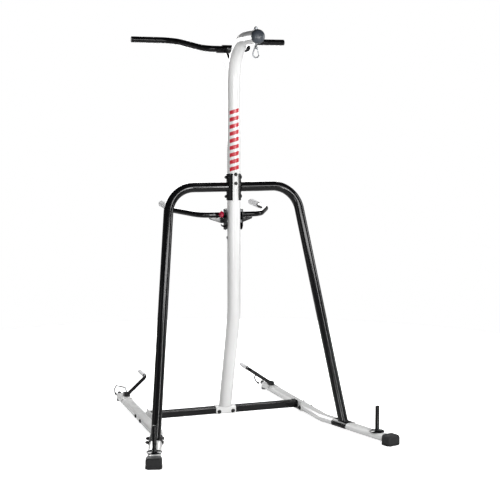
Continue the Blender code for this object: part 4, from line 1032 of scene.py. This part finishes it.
def rounded_path(corners, radii, steps):
    """Polyline through corner points with each inner corner replaced by an arc."""
    path = [corners[0]]
    for index in range(1, len(corners) - 1):
        corner = corners[index]
        before = (corners[index - 1] - corner).normalized()
        after = (corners[index + 1] - corner).normalized()
        turn = math.pi - before.angle(after)
        radius = radii[index - 1]
        setback = radius * math.tan(turn / 2.0)
        centre = corner + (before + after).normalized() * (radius / math.cos(turn / 2.0))
        start = corner + before * setback - centre
        axis = start.cross(corner + after * setback - centre).normalized()
        for step in range(steps + 1):
            path.append(centre + Matrix.Rotation(turn * step / steps, 3, axis) @ start)
    path.append(corners[-1])
    return path


def profile_rings(path, profile, up=None):
    """The profile carried along a path without twist, or with one side kept square to up."""
    rings = []
    last_side = None
    for index, point in enumerate(path):
        if index == 0:
            tangent = (path[1] - point).normalized()
        elif index == len(path) - 1:
            tangent = (point - path[-2]).normalized()
        else:
            before = (point - path[index - 1]).normalized()
            after = (path[index + 1] - point).normalized()
            tangent = (before + after).normalized()
        if up is not None:
            side = tangent.cross(up).normalized()
        elif last_side is None:
            side = basis(tangent)[1]
        else:
            side = (last_side - tangent * last_side.dot(tangent)).normalized()
        last_side = side
        lift = side.cross(tangent)
        rings.append([point + side * across + lift * above for across, above in profile])
    return rings


def round_ends(rings):
    """Draws in the last edge at both ends."""
    for end, inner in ((0, 1), (-1, -2)):
        centre = sum(rings[end], Vector()) / len(rings[end])
        inward = (sum(rings[inner], Vector()) / len(rings[inner]) - centre).normalized()
        shoulder = [point + inward * END_ROUND for point in rings[end]]
        size = max((point - centre).length for point in rings[end])
        lip = [centre + (point - centre) * (1.0 - END_ROUND / size) for point in rings[end]]
        if end == 0:
            rings = [lip, shoulder] + rings[1:]
        else:
            rings = rings[:-1] + [shoulder, lip]
    return rings


def add_tube(name, path, profile, body, slot, node=None, up=None, material=None):
    rings = round_ends(profile_rings(path, profile, up))
    piece = add_skin(name, rings, body, slot, material)
    if node:
        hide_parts(node)
    return piece


def add_strip(name, outline, start, along, side, lift, length, body, slot, round_width=0.0006):
    """Outline in the side and lift directions, drawn out along, with its sharp edges rounded."""
    rings = []
    for distance in (0.0, length):
        rings.append([start + along * distance + side * across + lift * above for across, above in outline])
    piece = add_skin(name, rings, body, slot, sharp=50.0)
    round_corners(piece, round_width, 50.0)


def dress_posts():
    path = rounded_path([at_post(0, 0, POST_SPLIT_Z), at_post(0, 0, ARM_Z), at_post(0, -ARM_REACH, ARM_Z)],
                        (ARM_BEND_RADIUS,), 36)
    add_tube("upper_post_tube", path, circle(POST_RADIUS, TUBE_SIDES), "stand", "white_paint", "upper_post",
             ACROSS)

    foot_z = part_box("lower_post")[0].z
    foot_y = CROSSBAR_Y * (LOWER_BEND_Z - foot_z) / (LOWER_BEND_Z - CROSSBAR_Z)
    path = rounded_path([at_post(0, 0, POST_SPLIT_Z - TOUCH), at_post(0, 0, LOWER_BEND_Z),
                         at_post(0, foot_y, foot_z)], (LOWER_BEND_RADIUS,), 20)
    rings = profile_rings(path, circle(POST_RADIUS, TUBE_SIDES), ACROSS)
    slope = (path[-1] - path[-2]).normalized()
    rings[-1] = [point + slope * ((foot_z - point.z) / slope.z) for point in rings[-1]]
    post = add_skin("lower_post_tube", rings, "stand", "white_paint")
    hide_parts("lower_post")


def half_oval(gap, wall, low, steps=14):
    """Upside-down trough over a leg, as an outline round its cross-section."""
    flat = LEG_HALF_WIDTH - LEG_HALF_HEIGHT
    layers = []
    for radius in (LEG_HALF_HEIGHT + gap + wall, LEG_HALF_HEIGHT + gap):
        start = math.degrees(math.asin(low / radius))
        layers.append(arc(radius, start, 90.0, steps, (flat, 0.0))
                      + arc(radius, 90.0, 180.0 - start, steps, (-flat, 0.0)))
    return layers[0] + layers[1][::-1]


def dress_frame():
    for label, side in SIDES:
        corner = at_side(side, *FRAME_CORNER)
        foot = at_side(side, *FRAME_FOOT)
        foot += (foot - corner).normalized() * 0.012
        start = at_side(side, POST_RADIUS + 0.0015, 0.0, FRAME_CORNER[2])
        path = rounded_path([start, corner, foot], (FRAME_BEND_RADIUS,), 32)
        add_tube("frame_tube_" + label, path, circle(FRAME_RADIUS, TUBE_SIDES), "stand", "black_paint",
                 "frame_half_" + label)

        inner = POST_RADIUS + TOUCH
        band = arc(inner + POST_PLATE_WALL, *POST_PLATE_ARC, 36) + arc(inner, *POST_PLATE_ARC[::-1], 36)
        band = [(side * across, along) for across, along in band]
        add_strip("post_plate_" + label, band, at_post(0, 0, FRAME_CORNER[2] - POST_PLATE_REACH), UP,
                  ACROSS, BACK, POST_PLATE_REACH * 2.0, "stand", "black_paint")

        front, direction, across = leg_axes(side)
        start = front - direction * (SADDLE_BACK + SADDLE_LENGTH / 2.0) + UP * LEG_Z
        add_strip("frame_saddle_" + label, half_oval(TOUCH, SADDLE_WALL, -0.012), start, direction, across,
                  UP, SADDLE_LENGTH, "stand", "black_paint")


def rear_point(side, y, z=LEG_Z):
    """Point on the axis of the rear part of a leg."""
    return at_side(side, LEG_X - math.tan(LEG_TOE) * (y - CROSSBAR_Y), y, z)


def dress_legs():
    splay, toe = math.tan(LEG_SPLAY), math.tan(LEG_TOE)
    corner_y = (LEG_FRONT[0] + splay * LEG_FRONT[1] - LEG_X - toe * CROSSBAR_Y) / (splay - toe)
    oval = rounded_rectangle(LEG_HALF_WIDTH, LEG_HALF_HEIGHT, LEG_HALF_HEIGHT, 12)
    for label, side in SIDES:
        path = rounded_path([rear_point(side, LEG_BACK_Y), rear_point(side, corner_y),
                             at_side(side, *LEG_FRONT, LEG_Z)], (LEG_BEND_RADIUS,), 16)
        add_tube("leg_tube_" + label, path, oval, "stand", "white_paint", "base_leg_" + label, UP)


def winged_bar(name, node, half, radii, radius, body):
    """Bar that is mirrored about the middle of the stand."""
    left = [at_post(-x, y, z) for x, y, z in half]
    right = [at_post(x, y, z) for x, y, z in half[::-1]]
    add_tube(name, rounded_path(left + right, radii, 22), circle(radius, 40), body, "black_paint", node)


def dress_bars():
    centre_y, centre_z = PULL_BAR_CENTRE
    end_x, end_y, end_z = PULL_BAR_END
    half = ((end_x, end_y, end_z), (PULL_BAR_CORNER_X, end_y - 0.010, end_z - 0.002),
            (PULL_BAR_BEND_X, centre_y, centre_z))
    winged_bar("pull_up_tube", "pull_up_bar", half, (0.110, 0.078, 0.078, 0.110), PULL_BAR_RADIUS, "stand")

    centre_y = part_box("dip_bar")[0].y - POST_Y + DIP_BAR_RADIUS
    half = ((DIP_HANDLE_X, DIP_HANDLE_BACK_Y, DIP_BAR_Z + DIP_HANDLE_RISE),
            (DIP_HANDLE_X, 0.240, DIP_BAR_Z + DIP_HANDLE_RISE * 0.45),
            (0.175, centre_y, DIP_BAR_Z))
    winged_bar("dip_tube", "dip_bar", half, (0.100, 0.085, 0.085, 0.100), DIP_BAR_RADIUS, "dip_station")


def dress_handles():
    block_low = LEG_Z + LEG_HALF_HEIGHT + SADDLE_WALL + 2.0 * TOUCH
    for label, side in SIDES:
        corners = [at_side(side, HANDLE_ROOT[0], HANDLE_ROOT[1], block_low + HANDLE_BLOCK_HEIGHT * 0.7),
                   at_side(side, HANDLE_X, HANDLE_BEND_Y, HANDLE_TOP_Z),
                   at_side(side, HANDLE_X - 0.001, HANDLE_GRIP_END_Y - 0.004, HANDLE_TOP_Z + 0.004)]
        add_tube("handle_rod_" + label, rounded_path(corners, (0.030,), 18), circle(HANDLE_RADIUS, 32),
                 "stand", "black_paint", "push_up_handle_" + label)
        centre = at_side(side, HANDLE_ROOT[0] + 0.008, HANDLE_ROOT[1] + 0.010, block_low)
        add_strip("handle_block_" + label, rounded_rectangle(0.018, 0.022, 0.006, 6), centre, UP,
                  ACROSS, BACK, HANDLE_BLOCK_HEIGHT, "stand", "black_paint", 0.0012)
        corners = [at_side(side, HANDLE_ROOT[0] + 0.003, HANDLE_ROOT[1] + 0.024,
                           block_low + HANDLE_BLOCK_HEIGHT * 0.7)]
        corners += [at_side(side, *corner) for corner in BAND_CORNERS]
        path = rounded_path(corners, BAND_BENDS, 14)
        add_tube("band_hook_rod_" + label, path, circle(BAND_ROD_RADIUS, 20), "stand", "zinc_steel",
                 material=MATERIALS["dull_zinc"])
        tip = [path[-1], at_side(side, 0.4690, 0.905, BAND_TIP_RADIUS + 0.0010)]
        tip[0] = tip[0] + (tip[0] - tip[1]) * 0.25
        points = evenly(tip, 0.0012)
        radii = []
        for index in range(len(points)):
            end = min(index, len(points) - 1 - index) / 3.0
            radii.append(BAND_TIP_RADIUS * math.sin(math.pi / 2.0 * min(1.0, 0.42 + 0.58 * end)))
        add_skin("band_hook_tip_" + label, sweep_rings(points, radii, 20),
                 "stand", "black_rubber", sharp=60.0)


CAP_RIM = 0.0060
CAP_RISE = 0.0247


def dress_arm_cap():
    """Domed cap with a rim groove and a moulding pip."""
    radius = POST_RADIUS + 0.0008
    end = at_post(0.0, -ARM_REACH, ARM_Z)
    stations = [(-0.0100, radius - 0.0040), (TOUCH, radius - 0.0036), (TOUCH, radius - 0.0006),
                (0.0009, radius), (0.0034, radius), (0.0038, radius - 0.0005), (0.0046, radius - 0.0005),
                (0.0050, radius), (CAP_RIM, radius)]
    stations += [(CAP_RIM + CAP_RISE * rise, radius * reach) for reach, rise in arc(1.0, 0.0, 86.0, 18)[1:]]
    stations += [(0.0309, 0.0022), (0.0310, 0.0012)]
    cap = add_skin("arm_cap_dome", turned_rings(end, (0, -1, 0), stations, 72),
                   "stand", "grey_plastic", sharp=60.0)
    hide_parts("arm_end_cap")


PEG_RADIUS = 0.0111


def dress_pegs():
    for label, _ in SIDES:
        low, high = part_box("weight_peg_" + label)
        base = Vector(((low.x + high.x) / 2.0, (low.y + high.y) / 2.0, low.z))
        flange = (high.x - low.x) / 2.0
        height = high.z - low.z
        stations = [(0.0, flange - 0.0012), (0.0005, flange - 0.0004), (0.0012, flange), (0.0033, flange),
                    (0.0040, flange - 0.0004), (0.0045, flange - 0.0013), (0.0045, PEG_RADIUS + 0.0013),
                    (0.0060, PEG_RADIUS), (height - 0.0022, PEG_RADIUS), (height - 0.0010, 0.0106),
                    (height - 0.0002, 0.0092), (height, 0.0078)]
        peg = add_skin("plate_peg_" + label, turned_rings(base, (0, 0, 1), stations, 56),
                       "stand", "black_paint", sharp=60.0)
        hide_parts("weight_peg_" + label)


# ---------------- stage
FLOOR_RADIUS = 3.4
FLOOR_GLOW = 0.80
FLOOR_BOUNCE = 0.08
FLOOR_SHADE = (0.62, 0.62, 0.62)


def add_floor():
    material, tree = start_material("pale_floor", specular=0.1)
    pale = blend_colours(tree, spread(tree, 0.7, 3.0, 0.3, 0.7), (0.93, 0.93, 0.93), (0.915, 0.915, 0.915))
    seen = tree.nodes.new("ShaderNodeLightPath").outputs["Is Camera Ray"]
    feed(tree, tree.nodes["Principled BSDF"], {
        "Base Color": blend_colours(tree, seen, FLOOR_SHADE, pale), "Roughness": 0.9,
        "Emission Color": (1.0, 1.0, 1.0, 1.0),
        "Emission Strength": remap(tree, seen, 0.0, 1.0, FLOOR_BOUNCE, FLOOR_GLOW)})
    mesh = bpy.data.meshes.new("floor")
    points = ring_points(Vector((0.0, 0.0, 0.0)), ACROSS, BACK, FLOOR_RADIUS, 96)
    mesh.from_pydata([tuple(point) for point in points], [], [tuple(range(96))])
    mesh.materials.append(material)
    add_object("floor", mesh)


def add_area_light(name, place, target, wide, high, power):
    light = bpy.data.lights.new(name, "AREA")
    light.shape = "RECTANGLE"
    light.size = wide
    light.size_y = high
    light.energy = power
    lamp = add_object(name, light)
    lamp.location = place
    lamp.rotation_euler = (Vector(target) - Vector(place)).to_track_quat("-Z", "Y").to_euler()
    lamp.visible_camera = False


def add_lights():
    middle = (0.0, -0.1, 1.1)
    ground = (0.0, 0.1, 0.1)
    add_area_light("strip_front", (1.25, -4.6, 1.40), middle, 0.32, 1.6, 50.0)
    add_area_light("strip_low", (1.55, -4.4, 0.10), middle, 1.6, 0.14, 5.0)
    add_area_light("strip_right", (4.2, -1.2, 1.3), middle, 0.5, 1.6, 20.0)
    add_area_light("strip_left", (-4.4, -1.0, 1.3), middle, 0.35, 1.6, 4.0)
    add_area_light("boom_front", (0.3, -3.0, 1.95), ground, 3.0, 0.5, 56.0)
    add_area_light("boom_back", (-0.2, 2.4, 2.0), ground, 3.4, 1.2, 108.0)
    add_area_light("boom_right", (2.6, -0.5, 1.9), (0.6, -0.4, 0.0), 0.6, 1.6, 20.0)
    add_area_light("fill_front", (-2.9, -6.2, 0.4), middle, 1.8, 0.7, 44.0)

    world = bpy.data.worlds.new("studio")
    bpy.context.scene.world = world
    world.use_nodes = True
    tree = world.node_tree
    place = tree.nodes.new("ShaderNodeTexCoord")
    height = add_node(tree, "ShaderNodeSeparateXYZ", {0: place.outputs["Generated"]}).outputs["Z"]
    seen = tree.nodes.new("ShaderNodeLightPath").outputs["Is Camera Ray"]
    level = add_node(tree, "ShaderNodeMix", {"Factor": seen, "A": remap(tree, height, -0.1, 0.5, 0.28, 0.03),
                                             "B": 1.0})
    feed(tree, tree.nodes["Background"],
         {"Strength": level.outputs["Result"], "Color": (1.0, 1.0, 1.0, 1.0)})
    bpy.context.scene.view_settings.view_transform = "Standard"


def add_camera():
    back = Vector((math.sin(VIEW_AZIMUTH) * math.cos(VIEW_ELEVATION),
                   -math.cos(VIEW_AZIMUTH) * math.cos(VIEW_ELEVATION), math.sin(VIEW_ELEVATION)))
    camera = bpy.data.cameras.new("camera")
    camera.sensor_fit = "HORIZONTAL"
    camera.sensor_width = 36.0
    camera.lens = VIEW_LENS
    camera.clip_end = 100.0
    holder = add_object("camera", camera)
    holder.location = at_post(*VIEW_FROM_POST)
    holder.rotation_euler = back.to_track_quat("Z", "Y").to_euler()
    bpy.context.scene.camera = holder


# ---------------- build
add_camera()
add_floor()
add_lights()
dress_cad_nodes()
dress_posts()
dress_frame()
dress_legs()
dress_bars()
dress_handles()
dress_arm_cap()
dress_pegs()
dress_fasteners()
for grip_name in ("dip_grip_left", "dip_grip_right"):
    dress_grip(grip_name, "dip_station")
for grip_name in ("push_up_grip_left", "push_up_grip_right"):
    dress_grip(grip_name, "stand")
dress_pull_pin()
dress_hook()
dress_eye_bolt()
add_welds()
dress_boots()
add_post_mark()
add_hole_bushing()
add_carriage_pads()
